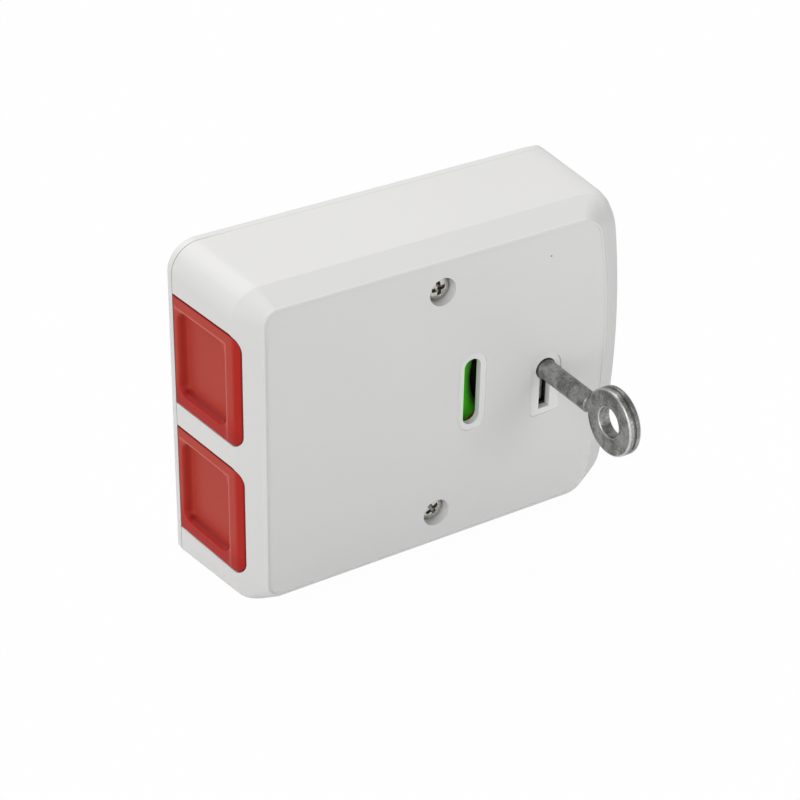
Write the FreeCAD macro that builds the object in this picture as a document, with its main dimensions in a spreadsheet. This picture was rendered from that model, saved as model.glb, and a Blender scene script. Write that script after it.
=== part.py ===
# A double push panic button with a reset key: a moulded wall box with two red squeeze buttons on
# its narrow left side, a keyhole and an indicator window in front, and the trip mechanism inside.
# Millimetres. +Z is up, +X is to the right as seen from the front, and the front faces -Y.
# The origin is the centre of the flat rear face that lies on the wall.
# A depth is counted from that rear face towards the front, so a depth of 5 is the plane y = -5.
import FreeCAD, Part
import math
import os
import Sketcher

doc = FreeCAD.newDocument("panic_button")
sheet = doc.addObject("Spreadsheet::Sheet", "sizes")

# Driving dimensions: name, value, what it measures
SIZES = [
    ("housing_width", 90.0, "left wall to the crown of the bowed right wall"),
    ("housing_height", 70.5, "bottom to top"),
    ("housing_depth", 28.7, "rear face to front panel"),
    ("plate_thickness", 2.05, "rear cover's plate"),
    ("side_wall", 2.0, "side walls of the front cover"),
    ("panel_wall", 2.0, "front panel of the front cover"),
    ("side_bow_radius", 195.0, "bow of the right wall"),
    ("panel_bow_radius", 150.0, "bow of the front panel's right edge"),
    ("outline_radius", 6.0, "corners of the outline"),
    ("low_left_radius", 1.2, "lower left corner of the outline"),
    ("shoulder_depth", 6.6, "depth of the bevels, measured back from the panel"),
    ("left_draft", 1.95, "how far the left wall leans in up to the shoulder"),
    ("end_draft", 0.95, "how far the top and bottom walls lean in up to the shoulder"),
    ("right_draft", 0.4, "how far the right wall leans in up to the shoulder"),
    ("panel_left_inset", 5.0, "left edge of the panel from the left wall"),
    ("panel_end_inset", 2.85, "top and bottom edges of the panel from the walls"),
    ("panel_right_inset", 5.2, "right edge of the panel from the right wall"),
    ("right_bevel_depth", 2.7, "depth of the bevel at the right wall"),
    ("bottom_bevel_depth", 3.2, "depth of the bevel at the bottom wall"),
    ("panel_left_radius", 3.0, "left corners of the panel"),
    ("panel_right_radius", 5.0, "right corners of the panel"),
    ("hip_high_radius", 12.5, "upper right corner of the bevel at the shoulder"),
    ("hip_low_radius", 15.5, "lower right corner of the bevel at the shoulder"),
    ("panel_recess", 0.25, "panel below its narrow rim"),
    ("panel_rim", 0.4, "rim round the panel"),
    ("shoulder_rounding", 0.8, "edge between the side walls and the bevels"),
    ("panel_rounding", 0.3, "edge of the panel"),
    ("rear_edge_chamfer", 0.4, "rear edge of the rear cover"),
    ("rim_clearance", 0.15, "locating rim to the inside of the side walls"),
    ("rim_thickness", 1.2, "locating rim"),
    ("rim_height", 2.5, "locating rim above the plate"),
    ("button_height", 24.2, "each button along the side"),
    ("button_pitch", 29.7, "between the two buttons' centres"),
    ("button_pair_drop", 1.8, "how far the pair sits below mid-height"),
    ("button_front_drop", 4.8, "a button's front edge below the panel"),
    ("button_corner_radius", 3.0, "front corners of a button"),
    ("button_gap", 0.25, "between a button and its slot"),
    ("button_back", 5.4, "inner face of a button's cap from the left wall"),
    ("button_travel", 3.0, "full press"),
    ("flange_width", 1.1, "retaining flange beyond the button"),
    ("flange_drop", 3.1, "flange's front edge below the shoulder"),
    ("flange_thickness", 1.2, "retaining flange"),
    ("dish_margin", 2.9, "rim of a button round its dish, above and below"),
    ("dish_rise", 1.45, "rear end of the dish above the rear cover's plate"),
    ("dish_drop", 2.8, "front end of the dish below the shoulder"),
    ("dish_depth", 1.7, "dish below the button's face"),
    ("dish_slope", 1.2, "how far the dish's walls lean"),
    ("dish_radius", 2.2, "corners of the dish"),
    ("cap_pocket", 1.2, "hollow behind the button's face"),
    ("cap_wall", 1.6, "walls round that hollow"),
    ("stem_size", 5.0, "square stem of a button"),
    ("stem_drop", 12.2, "stem's centre behind the front panel"),
    ("stem_to_board", 2.0, "end of the stem to the circuit board"),
    ("guide_clearance", 0.1, "stem in its guides"),
    ("guide_first", 14.0, "first guide from the left wall"),
    ("guide_to_board", 3.4, "second guide to the circuit board"),
    ("guide_thickness", 1.8, "each guide"),
    ("guide_margin", 3.5, "guide beyond the stem, above and below"),
    ("guide_over_stem", 2.6, "guide in front of the stem"),
    ("finger_thickness", 2.0, "catch finger of a button"),
    ("hook_from_lock", 21.8, "end of the catch finger to the lock's axis"),
    ("hook_length", 2.0, "hook along the finger"),
    ("hook_gap", 0.4, "hook to the rotor"),
    ("plunger_travel", 0.6, "switch plunger at full press"),
    ("switch_length", 12.8, "microswitch along the board"),
    ("switch_width", 5.8, "microswitch across the finger"),
    ("switch_height", 6.5, "microswitch above the board"),
    ("plunger_on_board", 7.0, "switch plungers from the board's left edge"),
    ("plunger_length", 1.6, "plunger along the finger"),
    ("plunger_width", 2.6, "plunger across the finger"),
    ("plunger_proud", 1.0, "plunger above the switch"),
    ("plunger_clearance", 0.05, "plunger in its hole and under the ramp"),
    ("plunger_root", 1.2, "plunger inside the switch"),
    ("plunger_from_end", 4.5, "plunger from the switch's left end"),
    ("ramp_relief", 0.35, "underside of a finger above the switch"),
    ("switch_hole_radius", 1.0, "through holes of a microswitch"),
    ("switch_hole_spacing", 6.5, "between those holes"),
    ("spring_wire", 0.7, "wire of the button springs"),
    ("spring_radius", 4.2, "centre of the wire from the stem's axis"),
    ("spring_turns", 4, "turns of a button spring"),
    ("spring_gap", 0.15, "spring to its seats"),
    ("screw_offset", -0.5, "cover screws from the middle, along the width"),
    ("screw_spacing", 51.3, "between the two cover screws"),
    ("screw_recess_radius", 3.0, "recess of a cover screw"),
    ("screw_recess_depth", 3.6, "recess of a cover screw"),
    ("screw_head_radius", 2.6, "head of a cover screw"),
    ("screw_head_height", 1.9, "head of a cover screw"),
    ("screw_shank_radius", 1.4, "shank of a cover screw"),
    ("screw_length", 17.0, "shank of a cover screw"),
    ("screw_clearance", 0.25, "screw in the front cover"),
    ("thread_clearance", 0.05, "screw in its pilot hole"),
    ("cross_width", 0.95, "wings of the cross recess"),
    ("cross_span", 3.0, "cross recess, tip to tip"),
    ("cross_depth", 1.1, "cross recess"),
    ("front_boss_radius", 4.3, "boss of the front cover"),
    ("pillar_radius", 3.5, "pillar of the rear cover"),
    ("pillar_top", 14.2, "depth where boss and pillar meet"),
    ("window_from_lock", 18.0, "window from the keyhole, along the width"),
    ("window_lift", 0.6, "window above mid-height"),
    ("window_length", 15.1, "window, end to end"),
    ("window_radius", 1.95, "half the window's width"),
    ("window_bezel", 1.35, "shallow rim round the window"),
    ("bezel_depth", 0.3, "how deep the rims of window and keyhole are"),
    ("lock_from_right", 19.7, "keyhole from the right wall"),
    ("lock_lift", 0.45, "keyhole above mid-height"),
    ("keyhole_radius", 2.4, "round part of the keyhole"),
    ("keyhole_slot_width", 2.65, "slot below it"),
    ("keyhole_slot_reach", 9.3, "slot's end from the keyhole's centre"),
    ("keyhole_bezel", 1.3, "shallow rim round the keyhole"),
    ("shaft_radius", 2.1, "key shaft"),
    ("key_insertion", 7.4, "key's tip behind the panel's front"),
    ("bow_stand_off", 22.5, "ring's centre in front of the panel"),
    ("bow_radius", 7.05, "ring of the key, outside"),
    ("bow_hole_radius", 3.15, "ring of the key, hole"),
    ("bow_thickness", 3.2, "ring of the key"),
    ("bow_edge", 0.45, "rounding of the ring's edges"),
    ("rim_groove_width", 0.9, "groove round the ring's rim"),
    ("rim_groove_depth", 0.35, "groove round the ring's rim"),
    ("bit_reach", 8.7, "key bit below the shaft's centre"),
    ("bit_thickness", 2.2, "key bit"),
    ("bit_insertion", 7.1, "bit's inner end behind the panel's front"),
    ("bit_length", 4.3, "key bit along the shaft"),
    ("barrel_radius", 10.0, "key barrel"),
    ("barrel_length", 5.7, "key barrel along its axis"),
    ("barrel_clearance", 0.1, "barrel to collar and to panel"),
    ("barrel_floor", 0.3, "barrel behind the key bit"),
    ("key_clearance", 0.15, "key in the barrel"),
    ("collar_wall", 1.5, "collar of the front cover round the barrel"),
    ("dog_radius", 1.2, "driving dog on the barrel"),
    ("dog_orbit", 7.5, "dog's distance from the axis"),
    ("dog_angle", 62.0, "dog at rest, degrees from the right"),
    ("dog_slot_margin", 11.5, "rotor's slot beyond the dog, degrees"),
    ("trip_angle", 56.0, "turn of the rotor, degrees"),
    ("rotor_plate", 1.5, "plate of the rotor"),
    ("rotor_drop", 7.6, "rotor plate's rear face behind the front panel"),
    ("rotor_disc_radius", 12.0, "round middle of the rotor"),
    ("rotor_rim_radius", 22.6, "sector that carries the flags"),
    ("rotor_arm_radius", 28.4, "catch arms"),
    ("rotor_arm_half", 3.5, "half a catch arm's width, degrees"),
    ("rotor_hub_radius", 4.8, "hub round the pivot pin"),
    ("rotor_hub_length", 3.6, "hub behind the rotor"),
    ("pivot_radius", 2.5, "pivot pin"),
    ("pivot_clearance", 0.05, "pivot pin in the hub"),
    ("pivot_base_radius", 4.25, "foot of the pivot pin"),
    ("pivot_gap", 0.3, "foot of the pin to the hub"),
    ("flag_orbit", 18.2, "middle of the flags from the axis"),
    ("flag_radius", 4.0, "half-round section of the flags"),
    ("flag_play", 0.2, "gap between the two flags, degrees each side"),
    ("board_left", -13.0, "left edge of the circuit board"),
    ("board_length", 27.5, "circuit board, along the width"),
    ("board_half", 21.8, "half the height of the circuit board"),
    ("board_drop", 21.7, "board's rear face behind the front panel"),
    ("board_thickness", 1.6, "circuit board"),
    ("board_post_radius", 2.5, "posts under the board"),
    ("board_screw_radius", 1.1, "board screws"),
    ("board_head_radius", 2.1, "heads of the board screws"),
    ("board_head_height", 1.5, "heads of the board screws"),
    ("board_screw_edge", 3.4, "board screws from the board's edges"),
    ("board_middle_screw", 4.3, "third board screw above mid-height"),
    ("terminal_pitch", 5.08, "between terminals"),
    ("terminal_on_board", 3.0, "terminal block from the board's left edge"),
    ("terminal_low", -9.3, "lower face of the terminal block"),
    ("terminal_width", 8.0, "terminal block, front to back of its ways"),
    ("terminal_height", 9.8, "terminal block above the board"),
    ("terminal_hole_radius", 1.9, "screw wells"),
    ("terminal_screw_radius", 1.8, "terminal screws"),
    ("terminal_well_depth", 4.0, "screw wells"),
    ("wire_entry", 3.3, "square wire entries"),
    ("wire_entry_depth", 5.5, "how far a wire goes in"),
    ("tamper_on_board", 0.8, "tamper switch from the board's left edge"),
    ("tamper_length", 6.0, "tamper switch"),
    ("tamper_width", 4.0, "tamper switch"),
    ("tamper_height", 6.0, "tamper switch above the board"),
    ("tamper_lift", 19.4, "tamper switch above mid-height"),
    ("tamper_plunger_radius", 1.2, "plunger of the tamper switch"),
    ("tamper_plunger_proud", 2.3, "plunger above the tamper switch"),
    ("tamper_travel", 0.4, "what is left of the plunger's travel"),
    ("tamper_post_radius", 1.8, "post of the front cover on that plunger"),
    ("fixing_from_left", 25.0, "left wall fixings from the left wall"),
    ("fixing_from_right", 13.0, "right wall fixings from the right wall"),
    ("fixing_half", 27.5, "wall fixings above and below mid-height"),
    ("fixing_radius", 2.15, "wall fixing holes"),
    ("cable_length", 14.0, "cable entry, along the width"),
    ("cable_height", 10.0, "cable entry"),
    ("cable_from_right", 17.5, "cable entry from the right wall"),
    ("cable_from_bottom", 9.25, "cable entry above the bottom"),
    ("cable_radius", 2.0, "corners of the cable entry"),
]


class Size:
    """A length that keeps the sheet's formula beside its number: the number is a sketch's first
    guess, and the formula is what drives it."""

    def __init__(self, number, text):
        self.number = number
        self.text = text

    def __add__(self, other):
        other = as_size(other)
        return Size(self.number + other.number, f"({self.text} + {other.text})")

    def __sub__(self, other):
        other = as_size(other)
        return Size(self.number - other.number, f"({self.text} - {other.text})")

    def __mul__(self, other):
        other = as_size(other)
        return Size(self.number * other.number, f"({self.text} * {other.text})")

    def __truediv__(self, other):
        other = as_size(other)
        return Size(self.number / other.number, f"({self.text} / {other.text})")

    def __neg__(self):
        return Size(-self.number, f"(-1 * {self.text})")

    __radd__ = __add__
    __rmul__ = __mul__

    def __rsub__(self, other):
        return as_size(other) - self


def as_size(value):
    """A Size as it is, or a plain number as a Size."""
    return value if isinstance(value, Size) else Size(float(value), f"{float(value)!r}")


def cosine(angle):
    """Cosine of an angle in degrees."""
    return Size(math.cos(math.radians(angle.number)), f"cos({angle.text} * 1 deg)")


def sine(angle):
    """Sine of an angle in degrees."""
    return Size(math.sin(math.radians(angle.number)), f"sin({angle.text} * 1 deg)")


class Named:
    """The sheet's sizes as attributes, such as S.housing_width."""


S = Named()
for row, (name, value, note) in enumerate(SIZES, start=1):
    sheet.set(f"A{row}", name)
    sheet.set(f"B{row}", repr(value))
    sheet.set(f"C{row}", note)
    sheet.setAlias(f"B{row}", name)
    setattr(S, name, Size(value, f"sizes.{name}"))
doc.recompute()


def bind(thing, prop, size):
    """Drives one property of an object by a formula."""
    thing.setExpression(prop, as_size(size).text)


class Piece:
    """One sub-part, built feature by feature in a body of its own."""

    def __init__(self, label):
        self.body = doc.addObject("PartDesign::Body", label)
        self.body.Label = label

    def sketch(self, role, offset=0):
        """A sketch on one of the body's own planes, moved along the plane's normal: -Y for
        XZ_Plane, +X for YZ_Plane and +Z for XY_Plane."""
        drawing = self.body.newObject("Sketcher::SketchObject", f"{self.body.Label}_sketch")
        plane = [p for p in self.body.Origin.OriginFeatures if p.Role == role][0]
        drawing.AttachmentSupport = [(plane, "")]
        drawing.MapMode = "FlatFace"
        bind(drawing, "AttachmentOffset.Base.z", offset)
        return drawing

    def feature(self, kind, drawing, **settings):
        """A PartDesign feature on a sketch."""
        made = self.body.newObject(f"PartDesign::{kind}", f"{self.body.Label}_{kind.lower()}")
        made.Profile = drawing
        for name, value in settings.items():
            setattr(made, name, value)
        return made

    def pad(self, drawing, length):
        """Adds material along the sketch's normal."""
        made = self.feature("Pad", drawing)
        bind(made, "Length", length)
        return made

    def pocket(self, drawing, length):
        """Removes material along the sketch's normal."""
        made = self.feature("Pocket", drawing, Reversed=True)
        bind(made, "Length", length)
        return made

    def loft(self, first, second, kind="AdditiveLoft"):
        """A ruled solid between two sketches with as many edges."""
        return self.feature(kind, first, Sections=[second], Ruled=True)

    def block(self, role, offset, left, low, right, high, length):
        """A pad on a rectangle."""
        drawing = self.sketch(role, offset)
        rectangle(drawing, left, low, right, high)
        return self.pad(drawing, length)

    def block_cut(self, role, offset, left, low, right, high, length):
        """A pocket on a rectangle."""
        drawing = self.sketch(role, offset)
        rectangle(drawing, left, low, right, high)
        return self.pocket(drawing, length)

    def disc(self, role, offset, across, up, radius, length):
        """A pad on a circle."""
        drawing = self.sketch(role, offset)
        circle(drawing, across, up, radius)
        return self.pad(drawing, length)

    def hole(self, role, offset, across, up, radius, length):
        """A pocket on a circle."""
        drawing = self.sketch(role, offset)
        circle(drawing, across, up, radius)
        return self.pocket(drawing, length)

    def blunt(self, kind, base, wanted, prop, size):
        """A Fillet or Chamfer on the edges of a feature whose ends all pass a test."""
        doc.recompute()
        made = self.body.newObject(f"PartDesign::{kind}", f"{self.body.Label}_{kind.lower()}")
        made.Base = (base, edges_where(base.Shape, wanted))
        bind(made, prop, size)
        return made

    def combine(self, kind, other):
        """A boolean with another piece's body: Fuse, Cut or Common."""
        doc.recompute()
        made = self.body.newObject("PartDesign::Boolean", f"{self.body.Label}_{kind.lower()}")
        made.Type = kind
        made.setObjects([other.body])
        self.body.Tip = made
        return made


def limit(drawing, kind, *where):
    """A constraint with no size of its own."""
    return drawing.addConstraint(Sketcher.Constraint(kind, *where))


def measure(drawing, kind, *where):
    """A constraint with a size, which comes last, tied to the sheet."""
    size = as_size(where[-1])
    index = drawing.addConstraint(Sketcher.Constraint(kind, *where[:-1], size.number))
    drawing.setExpression(f"Constraints[{index}]", size.text)


def pin(drawing, edge, end, across, up):
    """Places one end (1 or 2) or the centre (3) of an edge from the sketch's origin."""
    measure(drawing, "DistanceX", -1, 1, edge, end, across)
    measure(drawing, "DistanceY", -1, 1, edge, end, up)


def polygon(drawing, corners):
    """A closed outline of straight lines through the given corners."""
    points = [FreeCAD.Vector(as_size(a).number, as_size(b).number, 0) for a, b in corners]
    edges = []
    for index, start in enumerate(points):
        finish = points[(index + 1) % len(points)]
        edges.append(drawing.addGeometry(Part.LineSegment(start, finish)))
    for index, edge in enumerate(edges):
        limit(drawing, "Coincident", edge, 2, edges[(index + 1) % len(edges)], 1)
    for edge, (across, up) in zip(edges, corners):
        pin(drawing, edge, 1, across, up)
    return edges


def rectangle(drawing, left, low, right, high):
    """An upright rectangle."""
    return polygon(drawing, [(left, low), (right, low), (right, high), (left, high)])


def circle(drawing, across, up, radius):
    """A circle."""
    across, up, radius = as_size(across), as_size(up), as_size(radius)
    centre = FreeCAD.Vector(across.number, up.number, 0)
    edge = drawing.addGeometry(Part.Circle(centre, FreeCAD.Vector(0, 0, 1), radius.number))
    pin(drawing, edge, 3, across, up)
    measure(drawing, "Radius", edge, radius)


def arc(drawing, across, up, radius, start, finish):
    """An arc drawn anticlockwise between two angles in radians, with its radius driven."""
    centre = FreeCAD.Vector(across, up, 0)
    whole = Part.Circle(centre, FreeCAD.Vector(0, 0, 1), as_size(radius).number)
    edge = drawing.addGeometry(Part.ArcOfCircle(whole, start, finish))
    measure(drawing, "Radius", edge, radius)
    return edge


def rounded(drawing, left, low, right, high, radii):
    """A rectangle with its four corners rounded, from low left anticlockwise."""
    left, low, right, high = [as_size(value) for value in (left, low, right, high)]
    radii = [as_size(radius) for radius in radii]
    signs = [(1, 1), (-1, 1), (-1, -1), (1, -1)]
    corners = [(left, low), (right, low), (right, high), (left, high)]
    turns = [math.pi, 1.5 * math.pi, 0.0, 0.5 * math.pi]
    arcs = []
    for (across, up), (toward, above), radius, turn in zip(corners, signs, radii, turns):
        middle = (across.number + toward * radius.number, up.number + above * radius.number)
        arcs.append(arc(drawing, *middle, radius, turn, turn + 0.5 * math.pi))
        pin(drawing, arcs[-1], 3, across + toward * radius, up + above * radius)
    for index, edge in enumerate(arcs):
        following = arcs[(index + 1) % 4]
        start = drawing.getPoint(edge, 2)
        line = drawing.addGeometry(Part.LineSegment(start, drawing.getPoint(following, 1)))
        limit(drawing, "Tangent", edge, 2, line, 1)
        limit(drawing, "Tangent", line, 2, following, 1)


def bowed(drawing, left, right, low, high, bow, radii):
    """The housing's outline: straight above, below and to the left, and bowed on the right about
    mid-height. The corner radii go anticlockwise from the upper right."""
    high_right, high_left, low_left, low_right = radii
    reach = right.number - bow.number
    rise = high.number - high_right.number
    drop = low.number + low_right.number
    upper = reach + math.sqrt((bow.number - high_right.number) ** 2 - rise**2)
    lower = reach + math.sqrt((bow.number - low_right.number) ** 2 - drop**2)
    first = math.atan2(drop, lower - reach)
    last = math.atan2(rise, upper - reach)
    quarter = math.pi / 2
    side = arc(drawing, reach, 0, bow, first, last)
    top_right = arc(drawing, upper, rise, high_right, last, quarter)
    near, above = left.number + high_left.number, high.number - high_left.number
    top_left = arc(drawing, near, above, high_left, quarter, 2 * quarter)
    near, below = left.number + low_left.number, low.number + low_left.number
    bottom_left = arc(drawing, near, below, low_left, 2 * quarter, 3 * quarter)
    bottom_right = arc(drawing, lower, drop, low_right, 3 * quarter, 4 * quarter + first)

    def line(first, second):
        start = drawing.getPoint(first, 2)
        edge = drawing.addGeometry(Part.LineSegment(start, drawing.getPoint(second, 1)))
        limit(drawing, "Tangent", first, 2, edge, 1)
        limit(drawing, "Tangent", edge, 2, second, 1)
        return edge

    limit(drawing, "Tangent", side, 2, top_right, 1)
    top = line(top_right, top_left)
    back = line(top_left, bottom_left)
    bottom = line(bottom_left, bottom_right)
    limit(drawing, "Tangent", bottom_right, 2, side, 1)
    limit(drawing, "PointOnObject", side, 3, -1)
    limit(drawing, "Horizontal", top)
    limit(drawing, "Vertical", back)
    limit(drawing, "Horizontal", bottom)
    measure(drawing, "DistanceX", -1, 1, side, 3, right - bow)
    measure(drawing, "DistanceX", -1, 1, back, 1, left)
    measure(drawing, "DistanceY", -1, 1, top, 1, high)
    measure(drawing, "DistanceY", -1, 1, bottom, 1, low)


def sector(drawing, across, up, inner, outer, start, finish):
    """A piece of a ring between two radii and two angles in degrees."""
    arcs = []
    for radius in (inner, outer):
        first, last = math.radians(start.number), math.radians(finish.number)
        edge = arc(drawing, across.number, up.number, radius, first, last)
        pin(drawing, edge, 3, across, up)
        for end, angle in ((1, start), (2, finish)):
            steep = abs(math.sin(math.radians(angle.number))) > math.sqrt(0.5)
            if steep:
                measure(drawing, "DistanceX", -1, 1, edge, end, across + radius * cosine(angle))
            else:
                measure(drawing, "DistanceY", -1, 1, edge, end, up + radius * sine(angle))
        arcs.append(edge)
    for end in (1, 2):
        low, high = drawing.getPoint(arcs[0], end), drawing.getPoint(arcs[1], end)
        line = drawing.addGeometry(Part.LineSegment(low, high))
        limit(drawing, "Coincident", line, 1, arcs[0], end)
        limit(drawing, "Coincident", line, 2, arcs[1], end)


def edges_where(shape, wanted):
    """Names of the edges whose vertices all satisfy a test on their place."""
    names = []
    for index, edge in enumerate(shape.Edges, start=1):
        if all(wanted(vertex.Point) for vertex in edge.Vertexes):
            names.append(f"Edge{index}")
    return names


# Places that several pieces share
left_wall = -S.housing_width / 2
right_wall = S.housing_width / 2
half_height = S.housing_height / 2
shoulder = S.housing_depth - S.shoulder_depth
wall_run = shoulder - S.plate_thickness
panel_back = S.housing_depth - S.panel_wall
left_slope = S.left_draft / wall_run
end_slope = S.end_draft / wall_run
right_slope = S.right_draft / wall_run
button_centres = {
    "upper": S.button_pitch / 2 - S.button_pair_drop,
    "lower": -S.button_pitch / 2 - S.button_pair_drop,
}
screw_heights = {"upper": S.screw_spacing / 2, "lower": -S.screw_spacing / 2}
button_front = S.housing_depth - S.button_front_drop
board_depth = panel_back - S.board_drop
board_front = board_depth + S.board_thickness
board_right = S.board_left + S.board_length
switch_top = board_front + S.switch_height
plunger_x = S.board_left + S.plunger_on_board
stem_depth = panel_back - S.stem_drop
stem_front = stem_depth + S.stem_size / 2
stem_back = stem_depth - S.stem_size / 2
stem_end = S.board_left - S.stem_to_board
recess_floor = S.housing_depth - S.screw_recess_depth
lock_x = right_wall - S.lock_from_right
window_x = lock_x - S.window_from_lock
finger_end = lock_x - S.hook_from_lock
barrel_front = panel_back - S.barrel_clearance
barrel_start = barrel_front - S.barrel_length
rotor_back = panel_back - S.rotor_drop
rotor_front = rotor_back + S.rotor_plate
hub_start = rotor_back - S.rotor_hub_length
bow_depth = S.housing_depth + S.bow_stand_off
terminal_left = S.board_left + S.terminal_on_board
tamper_left = S.board_left + S.tamper_on_board


def wall_outline(drawing, depth, inset):
    """The outline of the leaning side walls at a depth, moved inwards by the inset."""
    run = depth - S.plate_thickness
    left = left_wall + left_slope * run + inset
    right = right_wall - right_slope * run - inset
    half = half_height - end_slope * run - inset
    radius = S.outline_radius - inset
    low_left = S.low_left_radius - inset / 4
    bowed(drawing, left, right, -half, half, S.side_bow_radius - inset,
          [radius, radius, low_left, radius])


def panel_outline(drawing, inset):
    """The outline of the panel, moved inwards by the inset."""
    left = left_wall + S.panel_left_inset + inset
    right = right_wall - S.panel_right_inset - inset
    half = half_height - S.panel_end_inset - inset
    near = S.panel_left_radius - inset / 2
    far = S.panel_right_radius - inset / 2
    bowed(drawing, left, right, -half, half, S.panel_bow_radius - inset, [far, near, near, far])


def housing_form(label, inset, front):
    """The moulded form of the housing: leaning walls, cut by bevels that rise to the panel. The
    bevels at the right and at the bottom are steeper, and start nearer to the panel."""
    form = Piece(label)
    rear_outline = form.sketch("XZ_Plane", S.plate_thickness)
    wall_outline(rear_outline, S.plate_thickness, inset)
    front_outline = form.sketch("XZ_Plane", front)
    wall_outline(front_outline, front, inset)
    form.loft(rear_outline, front_outline)

    hips = Piece(f"{label}_hips")
    panel_right = right_wall - S.panel_right_inset
    side_at_shoulder = right_wall - S.right_draft
    rise = (side_at_shoulder - panel_right) / S.right_bevel_depth * S.shoulder_depth
    panel_half = half_height - S.panel_end_inset
    bottom_wall = half_height - end_slope * (wall_run + S.shoulder_depth - S.bottom_bevel_depth)
    fall = (bottom_wall - panel_half) / S.bottom_bevel_depth * S.shoulder_depth
    shoulder_outline = hips.sketch("XZ_Plane", shoulder)
    bowed(
        shoulder_outline,
        left_wall + S.left_draft + inset,
        panel_right + rise - inset,
        inset - panel_half - fall,
        half_height - S.end_draft - inset,
        S.side_bow_radius - inset,
        [S.hip_high_radius - inset, S.outline_radius - inset, S.low_left_radius - inset / 4,
         S.hip_low_radius - inset],
    )
    rim_outline = hips.sketch("XZ_Plane", front)
    panel_outline(rim_outline, inset)
    hips.loft(shoulder_outline, rim_outline)
    hips.block("XZ_Plane", 0, 2 * left_wall, -2 * half_height, 2 * right_wall, 2 * half_height, shoulder)
    form.combine("Common", hips)
    return form


def make_front_cover():
    """The front shell: slots for the buttons, screw bosses, window, keyhole and collar."""
    cover = housing_form("front_cover", as_size(0), S.housing_depth)
    panel, edge = -S.housing_depth.number, -shoulder.number
    form = cover.body.Tip
    softened = cover.blunt("Fillet", form, lambda point: panel + 0.02 < point.y < edge + 0.02, "Radius",
                           S.shoulder_rounding)
    cover.blunt("Fillet", softened, lambda point: abs(point.y - panel) < 0.01, "Radius",
                S.panel_rounding)
    cavity = housing_form("cavity", S.side_wall, panel_back)
    cover.combine("Cut", cavity)
    face = S.housing_depth - S.panel_recess
    recess = cover.sketch("XZ_Plane", face)
    panel_outline(recess, S.panel_rim)
    cover.pocket(recess, S.panel_recess)
    for height in screw_heights.values():
        reach = panel_back - S.pillar_top + S.panel_wall / 2
        cover.disc("XZ_Plane", S.pillar_top, S.screw_offset, height, S.front_boss_radius, reach)
        cover.hole("XZ_Plane", recess_floor, S.screw_offset, height, S.screw_recess_radius,
                   S.screw_recess_depth)
        cover.hole("XZ_Plane", S.pillar_top, S.screw_offset, height,
                   S.screw_shank_radius + S.screw_clearance, recess_floor - S.pillar_top)
    collar_start = barrel_start + S.barrel_clearance
    collar_length = panel_back - collar_start + S.panel_wall / 2
    inner = S.barrel_radius + S.barrel_clearance
    ring = cover.sketch("XZ_Plane", collar_start)
    circle(ring, lock_x, S.lock_lift, inner + S.collar_wall)
    circle(ring, lock_x, S.lock_lift, inner)
    cover.pad(ring, panel_back - collar_start)
    tamper_tip = board_front + S.tamper_height + S.tamper_plunger_proud + S.plunger_clearance * 2
    cover.disc("XZ_Plane", tamper_tip, tamper_left + S.tamper_length / 2, S.tamper_lift,
               S.tamper_post_radius, panel_back - tamper_tip)
    for centre in button_centres.values():
        slot = cover.sketch("YZ_Plane", 2 * left_wall)
        half = S.button_height / 2 + S.button_gap
        radius = S.button_corner_radius + S.button_gap
        corner = S.button_corner_radius / 10
        rounded(slot, -button_front - S.button_gap, centre - half, as_size(0), centre + half,
                [radius, corner, corner, radius])
        cover.pocket(slot, -left_wall + S.button_back + S.flange_thickness / 2)
    window = cover.sketch("XZ_Plane", panel_back)
    window_slot(window, S.window_radius, as_size(0))
    cover.pocket(window, S.panel_wall)
    window_rim = cover.sketch("XZ_Plane", face - S.bezel_depth)
    window_slot(window_rim, S.window_radius + S.window_bezel, S.window_bezel)
    cover.pocket(window_rim, S.bezel_depth)
    cover.hole("XZ_Plane", panel_back, lock_x, S.lock_lift, S.keyhole_radius, S.panel_wall)
    half_slot = S.keyhole_slot_width / 2
    cover.block_cut("XZ_Plane", panel_back, lock_x - half_slot,
                    S.lock_lift - S.keyhole_slot_reach, lock_x + half_slot, S.lock_lift,
                    S.panel_wall)
    key_rim = cover.sketch("XZ_Plane", face - S.bezel_depth)
    half_rim = S.keyhole_radius + S.keyhole_bezel
    radii = [S.keyhole_bezel, S.keyhole_bezel, half_rim - 0.1, half_rim - 0.1]
    rounded(key_rim, lock_x - half_rim, S.lock_lift - S.keyhole_slot_reach - S.keyhole_bezel,
            lock_x + half_rim, S.lock_lift + half_rim, radii)
    cover.pocket(key_rim, S.bezel_depth)
    return cover


def window_slot(drawing, radius, extra):
    """The window's oblong with round ends, or its rim, longer by the extra at each end."""
    half = S.window_length / 2 + extra
    left, right = window_x - radius, window_x + radius
    low, high = S.window_lift - half, S.window_lift + half
    tight = radius - 0.05
    rounded(drawing, left, low, right, high, [tight, tight, tight, tight])


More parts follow.
